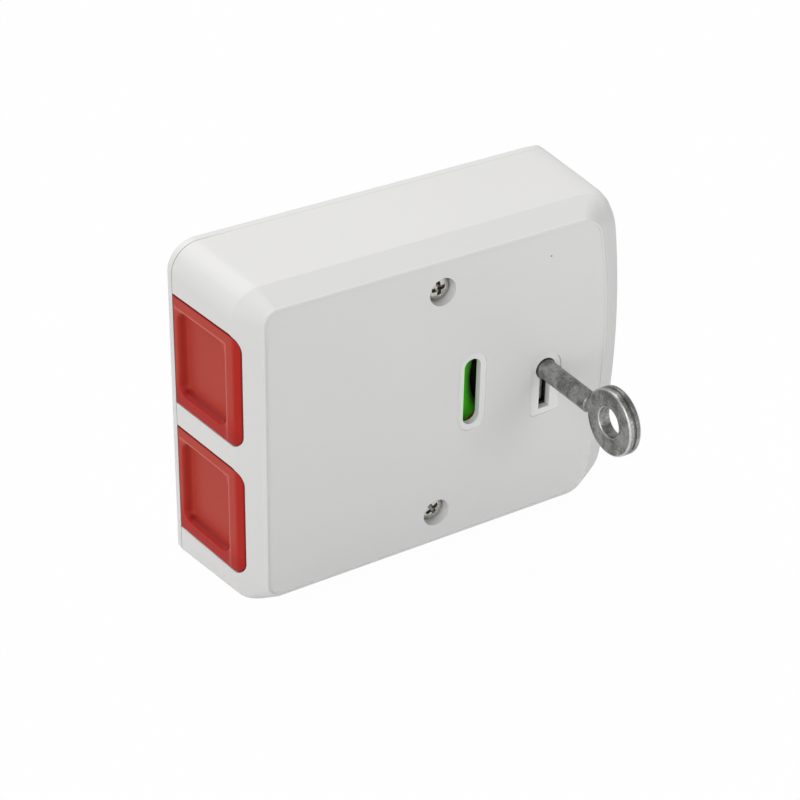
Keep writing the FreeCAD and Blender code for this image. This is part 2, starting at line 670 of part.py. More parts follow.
def make_rear_cover():
    """The rear plate with its locating rim, pillars, posts, stem guides and the pivot pin."""
    cover = Piece("rear_cover")
    outline = cover.sketch("XZ_Plane")
    wall_outline(outline, S.plate_thickness, as_size(0))
    plate = cover.pad(outline, S.plate_thickness)
    cover.blunt("Chamfer", plate, lambda point: abs(point.y) < 0.01, "Size", S.rear_edge_chamfer)
    rim = cover.sketch("XZ_Plane", S.plate_thickness)
    rim_top = S.plate_thickness + S.rim_height
    wall_outline(rim, rim_top, S.side_wall + S.rim_clearance)
    wall_outline(rim, rim_top, S.side_wall + S.rim_clearance + S.rim_thickness)
    cover.pad(rim, S.rim_height)
    reach = S.button_height / 2 + S.flange_width + S.button_gap * 2
    inner = left_wall + S.button_back + S.button_travel + S.button_gap * 2
    cover.block_cut("XZ_Plane", S.plate_thickness, left_wall, button_centres["lower"] - reach, inner,
                    button_centres["upper"] + reach, S.rim_height)
    for height in screw_heights.values():
        cover.disc("XZ_Plane", S.plate_thickness, S.screw_offset, height, S.pillar_radius,
                   S.pillar_top - S.plate_thickness)
        tip = recess_floor - S.screw_length - S.screw_clearance
        cover.hole("XZ_Plane", tip, S.screw_offset, height,
                   S.screw_shank_radius + S.thread_clearance, S.pillar_top - tip)
    for across, up in board_screw_places():
        cover.disc("XZ_Plane", S.plate_thickness, across, up, S.board_post_radius,
                   board_depth - S.plate_thickness)
        cover.hole("XZ_Plane", S.plate_thickness, across, up,
                   S.board_screw_radius + S.thread_clearance, board_depth - S.plate_thickness)
    guides = (left_wall + S.guide_first, S.board_left - S.guide_to_board - S.guide_thickness)
    for centre in button_centres.values():
        for start in guides:
            half = S.stem_size / 2
            clear = S.guide_clearance
            cover.block("YZ_Plane", start, -stem_front - S.guide_over_stem,
                        centre - half - S.guide_margin, -S.plate_thickness,
                        centre + half + S.guide_margin, S.guide_thickness)
            cover.block_cut("YZ_Plane", start, -stem_front - clear, centre - half - clear,
                            -stem_back + clear, centre + half + clear, S.guide_thickness)
    foot_top = hub_start - S.pivot_gap
    cover.disc("XZ_Plane", S.plate_thickness, lock_x, S.lock_lift, S.pivot_base_radius,
               foot_top - S.plate_thickness)
    cover.disc("XZ_Plane", foot_top, lock_x, S.lock_lift, S.pivot_radius,
               rotor_front - foot_top - S.barrel_clearance)
    for across in (left_wall + S.fixing_from_left, right_wall - S.fixing_from_right):
        for up in (-S.fixing_half, S.fixing_half):
            cover.hole("XZ_Plane", 0, across, up, S.fixing_radius, S.plate_thickness)
    entry = cover.sketch("XZ_Plane")
    right = right_wall - S.cable_from_right
    low = S.cable_from_bottom - half_height
    rounded(entry, right - S.cable_length, low, right, low + S.cable_height, [S.cable_radius] * 4)
    cover.pocket(entry, S.plate_thickness)
    return cover


def board_screw_places():
    """Centres of the three board screws."""
    right = board_right - S.board_screw_edge
    high = S.board_half - S.board_screw_edge
    return [(right, high), (right, -high), (S.board_left + S.board_screw_edge, S.board_middle_screw)]


def make_button(side):
    """A red button: dished cap, retaining flange, guided stem and catch finger with a ramp."""
    centre = button_centres[side]
    button = Piece(f"{side}_button")
    half = S.button_height / 2
    back = left_wall + S.button_back
    rear = S.plate_thickness + S.button_gap
    tight = S.button_corner_radius / 10
    blank = button.sketch("YZ_Plane", left_wall - 1)
    rounded(blank, -button_front, centre - half, -rear, centre + half,
            [S.button_corner_radius, tight, tight, S.button_corner_radius])
    button.pad(blank, S.button_back + 1)
    outside = button.sketch("XY_Plane", centre - half - 1)
    polygon(outside, [
        (left_wall - 2, as_size(0)),
        (left_wall - 2, -S.housing_depth),
        (left_wall + S.panel_left_inset, -S.housing_depth),
        (left_wall + S.left_draft, -shoulder),
        (left_wall, -S.plate_thickness),
        (left_wall, as_size(0)),
    ])
    button.pocket(outside, S.button_height + 2)
    reach = half + S.flange_width
    button.block("YZ_Plane", back - S.flange_thickness, S.flange_drop - shoulder, centre - reach, -rear,
                 centre + reach, S.flange_thickness)
    button.block_cut("YZ_Plane", back - S.cap_pocket, -button_front + S.cap_wall,
                     centre - half + S.cap_wall, -rear - S.cap_wall, centre + half - S.cap_wall,
                     S.cap_pocket)
    dish(button, centre)
    wide = S.stem_size / 2
    stem_start = back - S.cap_pocket
    button.block("YZ_Plane", stem_start, -stem_front, centre - wide, -stem_back, centre + wide,
                 stem_end - stem_start)
    finger_back = stem_front - S.finger_thickness
    button.block("YZ_Plane", stem_end, -stem_front, centre - wide, -finger_back, centre + wide,
                 finger_end - stem_end)
    button.block("YZ_Plane", finger_end - S.hook_length, S.hook_gap - rotor_back, centre - wide,
                 -stem_front, centre + wide, S.hook_length)
    slope = S.plunger_travel / S.button_travel
    touch = switch_top + S.plunger_proud + S.plunger_clearance
    relief = switch_top + S.ramp_relief
    plunger_edge = plunger_x - S.plunger_length / 2
    ramp = button.sketch("XY_Plane", centre - wide)
    polygon(ramp, [
        (stem_end, -stem_front + S.finger_thickness / 2),
        (stem_end, -relief),
        (plunger_edge - (touch - relief) / slope, -relief),
        (plunger_edge + (finger_back - touch) / slope, -finger_back),
        (plunger_edge + (finger_back - touch) / slope, -stem_front + S.finger_thickness / 2),
    ])
    button.pad(ramp, S.stem_size)
    return button


def dish(button, centre):
    """The shallow finger dish, parallel to the leaning face of the button."""
    half = S.button_height / 2 - S.dish_margin
    outlines = []
    for sunk, lean in ((as_size(0), as_size(0)), (S.dish_depth, S.dish_slope)):
        drawing = button.sketch("YZ_Plane", left_wall + sunk)
        turned = FreeCAD.Rotation(FreeCAD.Vector(0, 1, 0), 1)
        drawing.AttachmentOffset = FreeCAD.Placement(FreeCAD.Vector(0, 0, 0), turned)
        bind(drawing, "AttachmentOffset.Base.x", -S.plate_thickness)
        bind(drawing, "AttachmentOffset.Base.z", left_wall + sunk)
        drawing.setExpression("AttachmentOffset.Rotation.Angle", f"atan({left_slope.text})")
        start = -S.dish_rise - lean
        finish = S.plate_thickness + S.dish_drop - shoulder + lean
        radius = S.dish_radius - lean / 3
        rounded(drawing, finish, centre - half + lean, start, centre + half - lean, [radius] * 4)
        outlines.append(drawing)
    button.loft(outlines[0], outlines[1], "SubtractiveLoft")


def make_button_spring(side):
    """The coil spring round a button's stem, between the cap and the first guide: a loft through
    twelve eight-sided sections of the wire in each turn."""
    start = left_wall + S.button_back - S.cap_pocket + S.spring_gap + S.spring_wire / 2
    finish = left_wall + S.guide_first - S.spring_gap - S.spring_wire / 2
    stations = round(S.spring_turns.number * 12)
    step = (finish - start) / stations
    lead = math.degrees(math.atan(step.number * 12 / (math.tau * S.spring_radius.number)))
    spring = doc.addObject("Part::Loft", f"{side}_button_spring")
    spring.Label = f"{side}_button_spring"
    sections = []
    for index in range(stations + 1):
        section = doc.addObject("Part::RegularPolygon", f"{side}_wire_section")
        section.Polygon = 8
        bind(section, "Circumradius", S.spring_wire / 2)
        turn = as_size(30.0 * index)
        around = FreeCAD.Rotation(FreeCAD.Vector(1, 0, 0), turn.number)
        lean = FreeCAD.Rotation(FreeCAD.Vector(0, 1, 0), lead)
        section.Placement.Rotation = around * lean
        bind(section, "Placement.Base.x", start + step * index)
        bind(section, "Placement.Base.y", S.spring_radius * cosine(turn) - stem_depth)
        bind(section, "Placement.Base.z", button_centres[side] + S.spring_radius * sine(turn))
        sections.append(section)
    spring.Sections = sections
    spring.Solid = True
    spring.Ruled = True
    return spring


def make_microswitch(side):
    """A microswitch on the board under a button's finger."""
    centre = button_centres[side]
    switch = Piece(f"{side}_microswitch")
    left = plunger_x - S.plunger_from_end
    half = S.switch_width / 2
    switch.block("XZ_Plane", board_front, left, centre - half, left + S.switch_length, centre + half,
                 S.switch_height)
    along = S.plunger_length / 2 + S.plunger_clearance
    wide = S.plunger_width / 2 + S.plunger_clearance
    well = S.plunger_root + S.plunger_travel + S.plunger_clearance
    switch.block_cut("XZ_Plane", switch_top - well, plunger_x - along, centre - wide,
                     plunger_x + along, centre + wide, well)
    holes = switch.sketch("XY_Plane", centre - half)
    middle = left + S.switch_length / 2
    for offset in (-S.switch_hole_spacing / 2, S.switch_hole_spacing / 2):
        circle(holes, middle + offset, -board_front - S.switch_hole_radius * 2, S.switch_hole_radius)
    switch.pocket(holes, S.switch_width)
    return switch


def make_switch_plunger(side):
    """The plunger of a microswitch, which the ramp of the button's finger pushes in."""
    centre = button_centres[side]
    plunger = Piece(f"{side}_switch_plunger")
    along = S.plunger_length / 2
    wide = S.plunger_width / 2
    plunger.block("XZ_Plane", switch_top - S.plunger_root, plunger_x - along, centre - wide,
                  plunger_x + along, centre + wide, S.plunger_root + S.plunger_proud)
    return plunger


def make_circuit_board():
    """The board that carries the switches and the terminal block."""
    board = Piece("circuit_board")
    board.block("XZ_Plane", board_depth, S.board_left, -S.board_half, board_right, S.board_half,
                S.board_thickness)
    holes = board.sketch("XZ_Plane", board_depth)
    for across, up in board_screw_places():
        circle(holes, across, up, S.board_screw_radius + S.screw_clearance)
    board.pocket(holes, S.board_thickness)
    return board


def make_board_screws():
    """Three small screws that hold the board on its posts."""
    screws = Piece("board_screws")
    start = S.plate_thickness + S.screw_clearance
    shanks = screws.sketch("XZ_Plane", start)
    heads = screws.sketch("XZ_Plane", board_front)
    for across, up in board_screw_places():
        circle(shanks, across, up, S.board_screw_radius)
        circle(heads, across, up, S.board_head_radius)
    screws.pad(shanks, board_front - start)
    screws.pad(heads, S.board_head_height)
    slots = screws.sketch("XZ_Plane", board_front + S.board_head_height / 2)
    for across, up in board_screw_places():
        half = S.board_head_height / 5
        rectangle(slots, across - half, up - S.board_head_radius * 2, across + half,
                  up + S.board_head_radius * 2)
    screws.pocket(slots, S.board_head_height / 2)
    return screws


def make_cover_screws():
    """The two pan head screws with a cross recess that hold the front cover on."""
    screws = Piece("cover_screws")
    shanks = screws.sketch("XZ_Plane", recess_floor - S.screw_length)
    heads = screws.sketch("XZ_Plane", recess_floor)
    for height in screw_heights.values():
        circle(shanks, S.screw_offset, height, S.screw_shank_radius)
        circle(heads, S.screw_offset, height, S.screw_head_radius)
    screws.pad(shanks, S.screw_length)
    crown = screws.pad(heads, S.screw_head_height)
    top = (recess_floor + S.screw_head_height).number
    screws.blunt("Fillet", crown, lambda point: abs(point.y + top) < 0.01, "Radius",
                 S.screw_head_height / 2)
    start = recess_floor + S.screw_head_height - S.cross_depth
    for along, across in ((S.cross_span / 2, S.cross_width / 2), (S.cross_width / 2, S.cross_span / 2)):
        wings = screws.sketch("XZ_Plane", start)
        for height in screw_heights.values():
            rectangle(wings, S.screw_offset - along, height - across, S.screw_offset + along,
                      height + across)
        screws.pocket(wings, S.cross_depth)
    return screws


def make_terminal_block():
    """The four-way terminal block with its wire entries and screw wells."""
    block = Piece("terminal_block")
    block.block("XZ_Plane", board_front, terminal_left, S.terminal_low,
                terminal_left + S.terminal_pitch * 4, S.terminal_low + S.terminal_width,
                S.terminal_height)
    top = board_front + S.terminal_height
    wells = block.sketch("XZ_Plane", top - S.terminal_well_depth)
    entries = block.sketch("XY_Plane", S.terminal_low)
    entry_start = board_front + S.terminal_height / 5
    for across in terminal_places():
        circle(wells, across, S.terminal_low + S.terminal_width / 2, S.terminal_hole_radius)
        half = S.wire_entry / 2
        rectangle(entries, across - half, -entry_start - S.wire_entry, across + half, -entry_start)
    block.pocket(wells, S.terminal_well_depth)
    block.pocket(entries, S.wire_entry_depth)
    return block


def terminal_places():
    """Middles of the four terminals along the width."""
    return [terminal_left + S.terminal_pitch * (place + 0.5) for place in range(4)]


def make_terminal_screws():
    """The four clamp screws in the terminal block's wells."""
    screws = Piece("terminal_screws")
    start = board_front + S.terminal_height - S.terminal_well_depth + S.thread_clearance
    length = S.terminal_well_depth * 2 / 3
    bodies = screws.sketch("XZ_Plane", start)
    slots = screws.sketch("XZ_Plane", start + length / 2)
    for across in terminal_places():
        up = S.terminal_low + S.terminal_width / 2
        circle(bodies, across, up, S.terminal_screw_radius)
        half = S.terminal_screw_radius / 6
        rectangle(slots, across - half, up - S.terminal_screw_radius * 2, across + half,
                  up + S.terminal_screw_radius * 2)
    screws.pad(bodies, length)
    screws.pocket(slots, length / 2)
    return screws


def make_tamper_switch():
    """The switch that opens when the front cover is taken off."""
    switch = Piece("tamper_switch")
    half = S.tamper_width / 2
    right = tamper_left + S.tamper_length
    switch.block("XZ_Plane", board_front, tamper_left, S.tamper_lift - half, right,
                 S.tamper_lift + half, S.tamper_height)
    well = S.plunger_root + S.tamper_travel + S.plunger_clearance
    switch.hole("XZ_Plane", board_front + S.tamper_height - well, tamper_left + S.tamper_length / 2,
                S.tamper_lift, S.tamper_plunger_radius + S.plunger_clearance, well)
    return switch


def make_tamper_plunger():
    """Its plunger, held in by a post of the front cover."""
    plunger = Piece("tamper_plunger")
    plunger.disc("XZ_Plane", board_front + S.tamper_height - S.plunger_root,
                 tamper_left + S.tamper_length / 2, S.tamper_lift, S.tamper_plunger_radius,
                 S.plunger_root + S.tamper_plunger_proud)
    return plunger


def make_trip_rotor():
    """The rotor that carries the flags and two catch arms and turns on the pivot pin."""
    rotor = Piece("trip_rotor")
    rotor.disc("XZ_Plane", rotor_back, lock_x, S.lock_lift, S.rotor_disc_radius,
               S.rotor_plate)
    carrier = rotor.sketch("XZ_Plane", rotor_back)
    start = 180 - S.trip_angle / 2 - S.flag_play
    finish = 180 + S.trip_angle * 1.5 + S.flag_play
    sector(carrier, lock_x, S.lock_lift, S.rotor_disc_radius - 1, S.rotor_rim_radius, start,
           finish)
    rotor.pad(carrier, S.rotor_plate)
    run = finger_end - S.hook_length / 2 - lock_x
    for centre in button_centres.values():
        ratio = (centre - S.lock_lift) / run
        angle = Size(math.degrees(math.atan(ratio.number)), f"atan({ratio.text}) / 1 deg") + 180
        arm = rotor.sketch("XZ_Plane", rotor_back)
        sector(arm, lock_x, S.lock_lift, S.rotor_disc_radius - 1, S.rotor_arm_radius,
               angle - S.rotor_arm_half, angle + S.rotor_arm_half)
        rotor.pad(arm, S.rotor_plate)
    rotor.disc("XZ_Plane", hub_start, lock_x, S.lock_lift, S.rotor_hub_radius,
               rotor_back - hub_start)
    rotor.hole("XZ_Plane", hub_start, lock_x, S.lock_lift,
               S.pivot_radius + S.pivot_clearance, rotor_front - hub_start)
    slot = rotor.sketch("XZ_Plane", rotor_back)
    wide = S.dog_radius + S.barrel_clearance
    sector(slot, lock_x, S.lock_lift, S.dog_orbit - wide, S.dog_orbit + wide,
           S.dog_angle - S.dog_slot_margin, S.dog_angle + S.trip_angle + S.dog_slot_margin)
    rotor.pocket(slot, S.rotor_plate)
    return rotor


def make_flag(label, turn):
    """A half-round coloured flag on the rotor, turned by so many degrees about the lock's axis."""
    flag = Piece(label)
    section = flag.sketch("XY_Plane")
    edge = arc(section, -S.flag_orbit.number, -rotor_front.number, S.flag_radius, math.pi, 2 * math.pi)
    pin(section, edge, 3, -S.flag_orbit, -rotor_front)
    chord = section.addGeometry(Part.LineSegment(section.getPoint(edge, 2), section.getPoint(edge, 1)))
    limit(section, "Coincident", edge, 2, chord, 1)
    limit(section, "Coincident", chord, 2, edge, 1)
    limit(section, "Horizontal", chord)
    limit(section, "PointOnObject", edge, 3, chord)
    swept = flag.feature("Revolution", section)
    swept.ReferenceAxis = (section, ["V_Axis"])
    swept.Midplane = True
    bind(swept, "Angle", S.trip_angle - 2 * S.flag_play)
    flag.body.Placement = FreeCAD.Placement(FreeCAD.Vector(0, 0, 0),
                                            FreeCAD.Rotation(FreeCAD.Vector(0, 1, 0), 1))
    bind(flag.body, "Placement.Base.x", lock_x)
    bind(flag.body, "Placement.Base.z", S.lock_lift)
    flag.body.setExpression("Placement.Rotation.Angle", f"{as_size(turn).text} * 1 deg")
    return flag


def make_key_barrel():
    """The barrel behind the keyhole: it takes the key's bit and drives the rotor with its dog."""
    barrel = Piece("key_barrel")
    barrel.disc("XZ_Plane", barrel_start, lock_x, S.lock_lift, S.barrel_radius,
                barrel_front - barrel_start)
    floor = barrel_start + S.barrel_floor
    barrel.hole("XZ_Plane", floor, lock_x, S.lock_lift, S.shaft_radius + S.key_clearance,
                barrel_front - floor)
    half = S.bit_thickness / 2 + S.key_clearance
    barrel.block_cut("XZ_Plane", floor, lock_x - half,
                     S.lock_lift - S.bit_reach - S.key_clearance, lock_x + half, S.lock_lift,
                     barrel_front - floor)
    reach = barrel_start - rotor_back - S.dog_radius / 2
    barrel.disc("XZ_Plane", barrel_start - reach, lock_x + S.dog_orbit * cosine(S.dog_angle),
                S.lock_lift + S.dog_orbit * sine(S.dog_angle), S.dog_radius, reach)
    return barrel


def make_reset_key():
    """The cast key: round shaft, bit, and a ring bow with a groove round its rim."""
    key = Piece("reset_key")
    tip = S.housing_depth - S.key_insertion
    length = bow_depth - S.bow_radius + S.bow_thickness / 3 - tip
    key.disc("XZ_Plane", tip, lock_x, S.lock_lift, S.shaft_radius, length)
    half = S.bit_thickness / 2
    key.block("XZ_Plane", S.housing_depth - S.bit_insertion, lock_x - half,
              S.lock_lift - S.bit_reach, lock_x + half, S.lock_lift, S.bit_length)
    section = key.sketch("XY_Plane", S.lock_lift)
    side = S.bow_thickness / 2
    outer = -bow_depth + S.bow_radius
    groove = S.rim_groove_width / 2
    polygon(section, [
        (lock_x - side, -bow_depth + S.bow_hole_radius),
        (lock_x + side, -bow_depth + S.bow_hole_radius),
        (lock_x + side, outer - S.bow_edge),
        (lock_x + side - S.bow_edge, outer),
        (lock_x + groove, outer),
        (lock_x + groove / 2, outer - S.rim_groove_depth),
        (lock_x - groove / 2, outer - S.rim_groove_depth),
        (lock_x - groove, outer),
        (lock_x - side + S.bow_edge, outer),
        (lock_x - side, outer - S.bow_edge),
    ])
    axis = section.addGeometry(Part.LineSegment(FreeCAD.Vector(0, 0, 0), FreeCAD.Vector(1, 0, 0)), True)
    pin(section, axis, 1, lock_x, -bow_depth)
    pin(section, axis, 2, lock_x + side, -bow_depth)
    ring = key.feature("Revolution", section)
    ring.ReferenceAxis = (section, ["Axis0"])
    ring.Angle = 360
    return key


def make_all():
    """Every sub-part, in the order in which the button is put together."""
    pieces = [make_rear_cover(), make_circuit_board(), make_board_screws(), make_terminal_block(),
              make_terminal_screws(), make_tamper_switch(), make_tamper_plunger()]
    for side in ("upper", "lower"):
        pieces += [make_microswitch(side), make_switch_plunger(side), make_button(side)]
    pieces += [make_trip_rotor(), make_flag("green_flag", 0), make_flag("red_flag", -S.trip_angle),
               make_key_barrel(), make_front_cover(), make_cover_screws(), make_reset_key()]
    springs = [make_button_spring(side) for side in ("upper", "lower")]
    return [piece.body for piece in pieces] + springs


pieces = make_all()
doc.recompute()
for thing in doc.Objects:
    if "Invalid" in thing.State or "Error" in thing.State:
        raise RuntimeError(f"{thing.Label} failed: {thing.getStatusString()}")
os.makedirs("parts", exist_ok=True)
for piece in pieces:
    shape = piece.Shape
    if shape.isNull() or not shape.isValid():
        raise RuntimeError(f"{piece.Label} has no valid shape")
    shape.exportStep(f"parts/{piece.Label}.step")
    print(piece.Label, "solids", len(shape.Solids), "volume", round(shape.Volume, 1))
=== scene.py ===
# %% [markdown]
# # A double push panic button
#
# The real object is a white moulded box for a wall. Two red buttons on its narrow left side have to be
# squeezed together, an oblong window then shows a red flag in place of the green one, and a cast key
# in the keyhole resets it. The CAD model already holds every piece at its place, so this lesson only
# gives the pieces their looks. Lengths are written as on a drawing, in millimetres times `mm`.

# %% The frame, the libraries and the unit
import math

import bmesh
import bpy
import numpy as np
from mathutils import Matrix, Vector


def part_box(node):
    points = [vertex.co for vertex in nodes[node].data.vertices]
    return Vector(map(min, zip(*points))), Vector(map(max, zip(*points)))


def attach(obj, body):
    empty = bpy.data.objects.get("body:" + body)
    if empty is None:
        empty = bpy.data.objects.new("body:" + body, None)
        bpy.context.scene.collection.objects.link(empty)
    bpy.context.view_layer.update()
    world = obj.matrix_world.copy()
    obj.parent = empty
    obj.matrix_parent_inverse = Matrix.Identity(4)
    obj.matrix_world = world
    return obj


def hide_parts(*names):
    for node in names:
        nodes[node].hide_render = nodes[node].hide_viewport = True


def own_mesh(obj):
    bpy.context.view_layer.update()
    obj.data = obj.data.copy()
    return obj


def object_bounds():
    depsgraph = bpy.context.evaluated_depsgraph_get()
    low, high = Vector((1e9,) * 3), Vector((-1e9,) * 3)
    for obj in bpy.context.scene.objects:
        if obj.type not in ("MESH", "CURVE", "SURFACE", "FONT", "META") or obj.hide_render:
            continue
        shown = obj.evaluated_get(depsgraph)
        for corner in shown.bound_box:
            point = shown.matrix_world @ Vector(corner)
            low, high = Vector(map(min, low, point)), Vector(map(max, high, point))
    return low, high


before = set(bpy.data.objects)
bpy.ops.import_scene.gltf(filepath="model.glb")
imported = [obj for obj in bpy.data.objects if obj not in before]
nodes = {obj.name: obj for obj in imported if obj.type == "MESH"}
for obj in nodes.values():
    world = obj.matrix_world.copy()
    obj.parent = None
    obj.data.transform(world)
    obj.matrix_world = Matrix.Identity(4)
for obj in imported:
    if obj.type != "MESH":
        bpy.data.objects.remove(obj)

mm = 0.001
cad_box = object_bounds()
print("CAD nodes:", len(nodes), "box in mm:", [round(value / mm, 2) for corner in cad_box for value in corner])

# %% [markdown]
# ## The camera
#
# The product was photographed from its upper left with a long lens, which keeps upright edges nearly
# parallel. A camera can be aimed by a constraint or by a rotation matrix. The matrix is chosen here:
# its columns are the camera's right, its up and its back, and a small roll turns the first two.

# %% A long lens from the upper left
yaw, pitch, roll = np.radians([-32.96, 32.03, 1.2])
aim = np.array([-0.777, -14.485, -6.131]) * mm
distance = 471.49 * mm
back = np.array([np.sin(yaw) * np.cos(pitch), -np.cos(yaw) * np.cos(pitch), np.sin(pitch)])
level = np.array([np.cos(yaw), np.sin(yaw), 0.0])
upright = np.cross(back, level)
right = np.cos(roll) * level + np.sin(roll) * upright
above = np.cos(roll) * upright - np.sin(roll) * level

lens = bpy.data.cameras.new("long_lens")
lens.sensor_width = 36.0
lens.lens = 104.63
lens.clip_start = 10 * mm
camera = bpy.data.objects.new("camera", lens)
turn = np.eye(4)
turn[:3, :3] = np.stack([right, above, back], axis=1)
turn[:3, 3] = aim + distance * back
camera.matrix_world = Matrix(turn.tolist())
bpy.context.scene.collection.objects.link(camera)
bpy.context.scene.camera = camera
print("camera at", np.round(turn[:3, 3] / mm, 1), "mm, focal length", lens.lens, "mm")

# %% [markdown]
# ## Skins made of rings
#
# A moulded or turned piece can be sculpted, built from primitives or worked out as a formula. The
# formula keeps its real sizes, so every new piece here is one or more closed skins. A skin is a grid
# of points: rings in a row, all with the same number of points. Quads join neighbouring rings, and
# the ends are closed by a pole, by a flat face, or by each other.

# %% Rings become a closed skin
def skin(rings, ends="pole"):
    """Points and faces of a closed skin. Ring j and ring j+1 are joined by quads whose corners are
    points i and i+1 of both. Poles lie at the mean point of the end rings."""
    if ends == "pole":
        poles = np.repeat(rings[[0, -1]].mean(axis=1, keepdims=True), rings.shape[1], axis=1)
        rings = np.concatenate([poles[:1], rings, poles[1:]])
    if ends == "joined":
        rings = np.concatenate([rings, rings[:1]])
    rows, columns = rings.shape[:2]
    number = np.arange(rows * columns).reshape(rows, columns)
    ahead = np.roll(number, -1, axis=1)
    quads = np.stack([number[:-1], ahead[:-1], ahead[1:], number[1:]], axis=-1)
    faces = quads.reshape(-1, 4).tolist()
    if ends == "flat":
        faces += [number[0].tolist(), number[-1].tolist()]
    return rings.reshape(-1, 3), faces


# %% Skins become an object
def shaded(name, shape, sharp):
    """An object from a bmesh: smooth, with edges sharper than an angle in degrees kept crisp."""
    mesh = bpy.data.meshes.new(name)
    shape.to_mesh(mesh)
    shape.free()
    mesh.shade_smooth()
    mesh.set_sharp_from_angle(angle=math.radians(sharp))
    thing = bpy.data.objects.new(name, mesh)
    bpy.context.scene.collection.objects.link(thing)
    even = thing.modifiers.new("even_shading", "WEIGHTED_NORMAL")
    even.keep_sharp = True
    even.weight = 100
    return thing


def solid(name, skins, sharp=35):
    """One object from closed skins: doubles at poles and joins are merged, faces point outwards."""
    starts = np.cumsum([0] + [len(points) for points, faces in skins])
    faces = [[corner + start for corner in face]
             for (points, some), start in zip(skins, starts) for face in some]
    mesh = bpy.data.meshes.new(f"{name}_rings")
    mesh.from_pydata(np.concatenate([points for points, some in skins]).tolist(), [], faces)
    shape = bmesh.new()
    shape.from_mesh(mesh)
    bpy.data.meshes.remove(mesh)
    bmesh.ops.remove_doubles(shape, verts=shape.verts, dist=0.001 * mm)
    bmesh.ops.recalc_face_normals(shape, faces=shape.faces)
    thing = shaded(name, shape, sharp)
    print(name, "has", len(thing.data.polygons), "faces")
    return thing


def moulding(name, node, sharp=22):
    """A copy of a CAD node whose loose triangles are merged. Those of a flat face become one face, so
    that the face's normal, weighted by its area, keeps it flat while its curves shade smoothly."""
    shape = bmesh.new()
    shape.from_mesh(nodes[node].data)
    bmesh.ops.remove_doubles(shape, verts=shape.verts, dist=0.002 * mm)
    bmesh.ops.dissolve_limit(shape, angle_limit=math.radians(0.3), verts=shape.verts, edges=shape.edges)
    thing = shaded(name, shape, sharp)
    print(name, "has", len(thing.data.polygons), "faces")
    return thing


# %% Outlines and turned shapes
def rounded_rectangle(low, high, radii, bend=10, run=22):
    """Points round a rectangle with rounded corners, from the low corner anticlockwise: each corner is
    centre + radius (cos t, sin t) over a quarter turn, each side a straight run."""
    signs = np.array([(1, 1), (-1, 1), (-1, -1), (1, -1)])
    corners = np.array([low, (high[0], low[1]), high, (low[0], high[1])])
    centres = corners + signs * np.array(radii)[:, None]
    turns = np.radians(np.array([180, 270, 0, 90])[:, None] + np.linspace(0, 90, bend))
    arcs = centres[:, None] + np.array(radii)[:, None, None] * np.stack([np.cos(turns), np.sin(turns)], -1)
    share = np.linspace(0, 1, run + 2)[1:-1, None]
    sides = arcs[:, -1:] + share * (np.roll(arcs, -1, axis=0)[:, :1] - arcs[:, -1:])
    return np.concatenate([arcs, sides], axis=1).reshape(-1, 2)


def turned(along, radius, origin, axis, side, steps=96):
    """Rings of a turned shape: origin + axis * along + radius (side cos t + (axis x side) sin t)."""
    angle = np.linspace(0, 2 * np.pi, steps, endpoint=False)
    spoke = np.outer(np.cos(angle), side) + np.outer(np.sin(angle), np.cross(axis, side))
    stations = np.array(origin) + np.outer(along, axis)
    return stations[:, None] + np.array(radius)[:, None, None] * spoke


def easing(value):
    """0 below 0, 1 above 1, and 3 v^2 - 2 v^3 between, which starts and ends level."""
    value = np.clip(value, 0, 1)
    return value * value * (3 - 2 * value)


# %% [markdown]
# ## Finishes
#
# A finish is a small network of shader nodes. Written node by node it hides its own idea, so two
# small classes keep it short: a `Wire` is the output of a node, and Python's operators on wires add
# Math nodes. A `Finish` is one material, and its `node` method adds any other node.

# %% Wires and finishes
class Wire:
    """The output socket of a node, as a value in an expression."""

    def __init__(self, finish, socket):
        self.finish = finish
        self.socket = socket

    def __add__(self, other):
        return self.finish.maths("ADD", self, other)

    def __sub__(self, other):
        return self.finish.maths("SUBTRACT", self, other)

    def __rsub__(self, other):
        return self.finish.maths("SUBTRACT", other, self)

    def __mul__(self, other):
        return self.finish.maths("MULTIPLY", self, other)

    __radd__ = __add__
    __rmul__ = __mul__


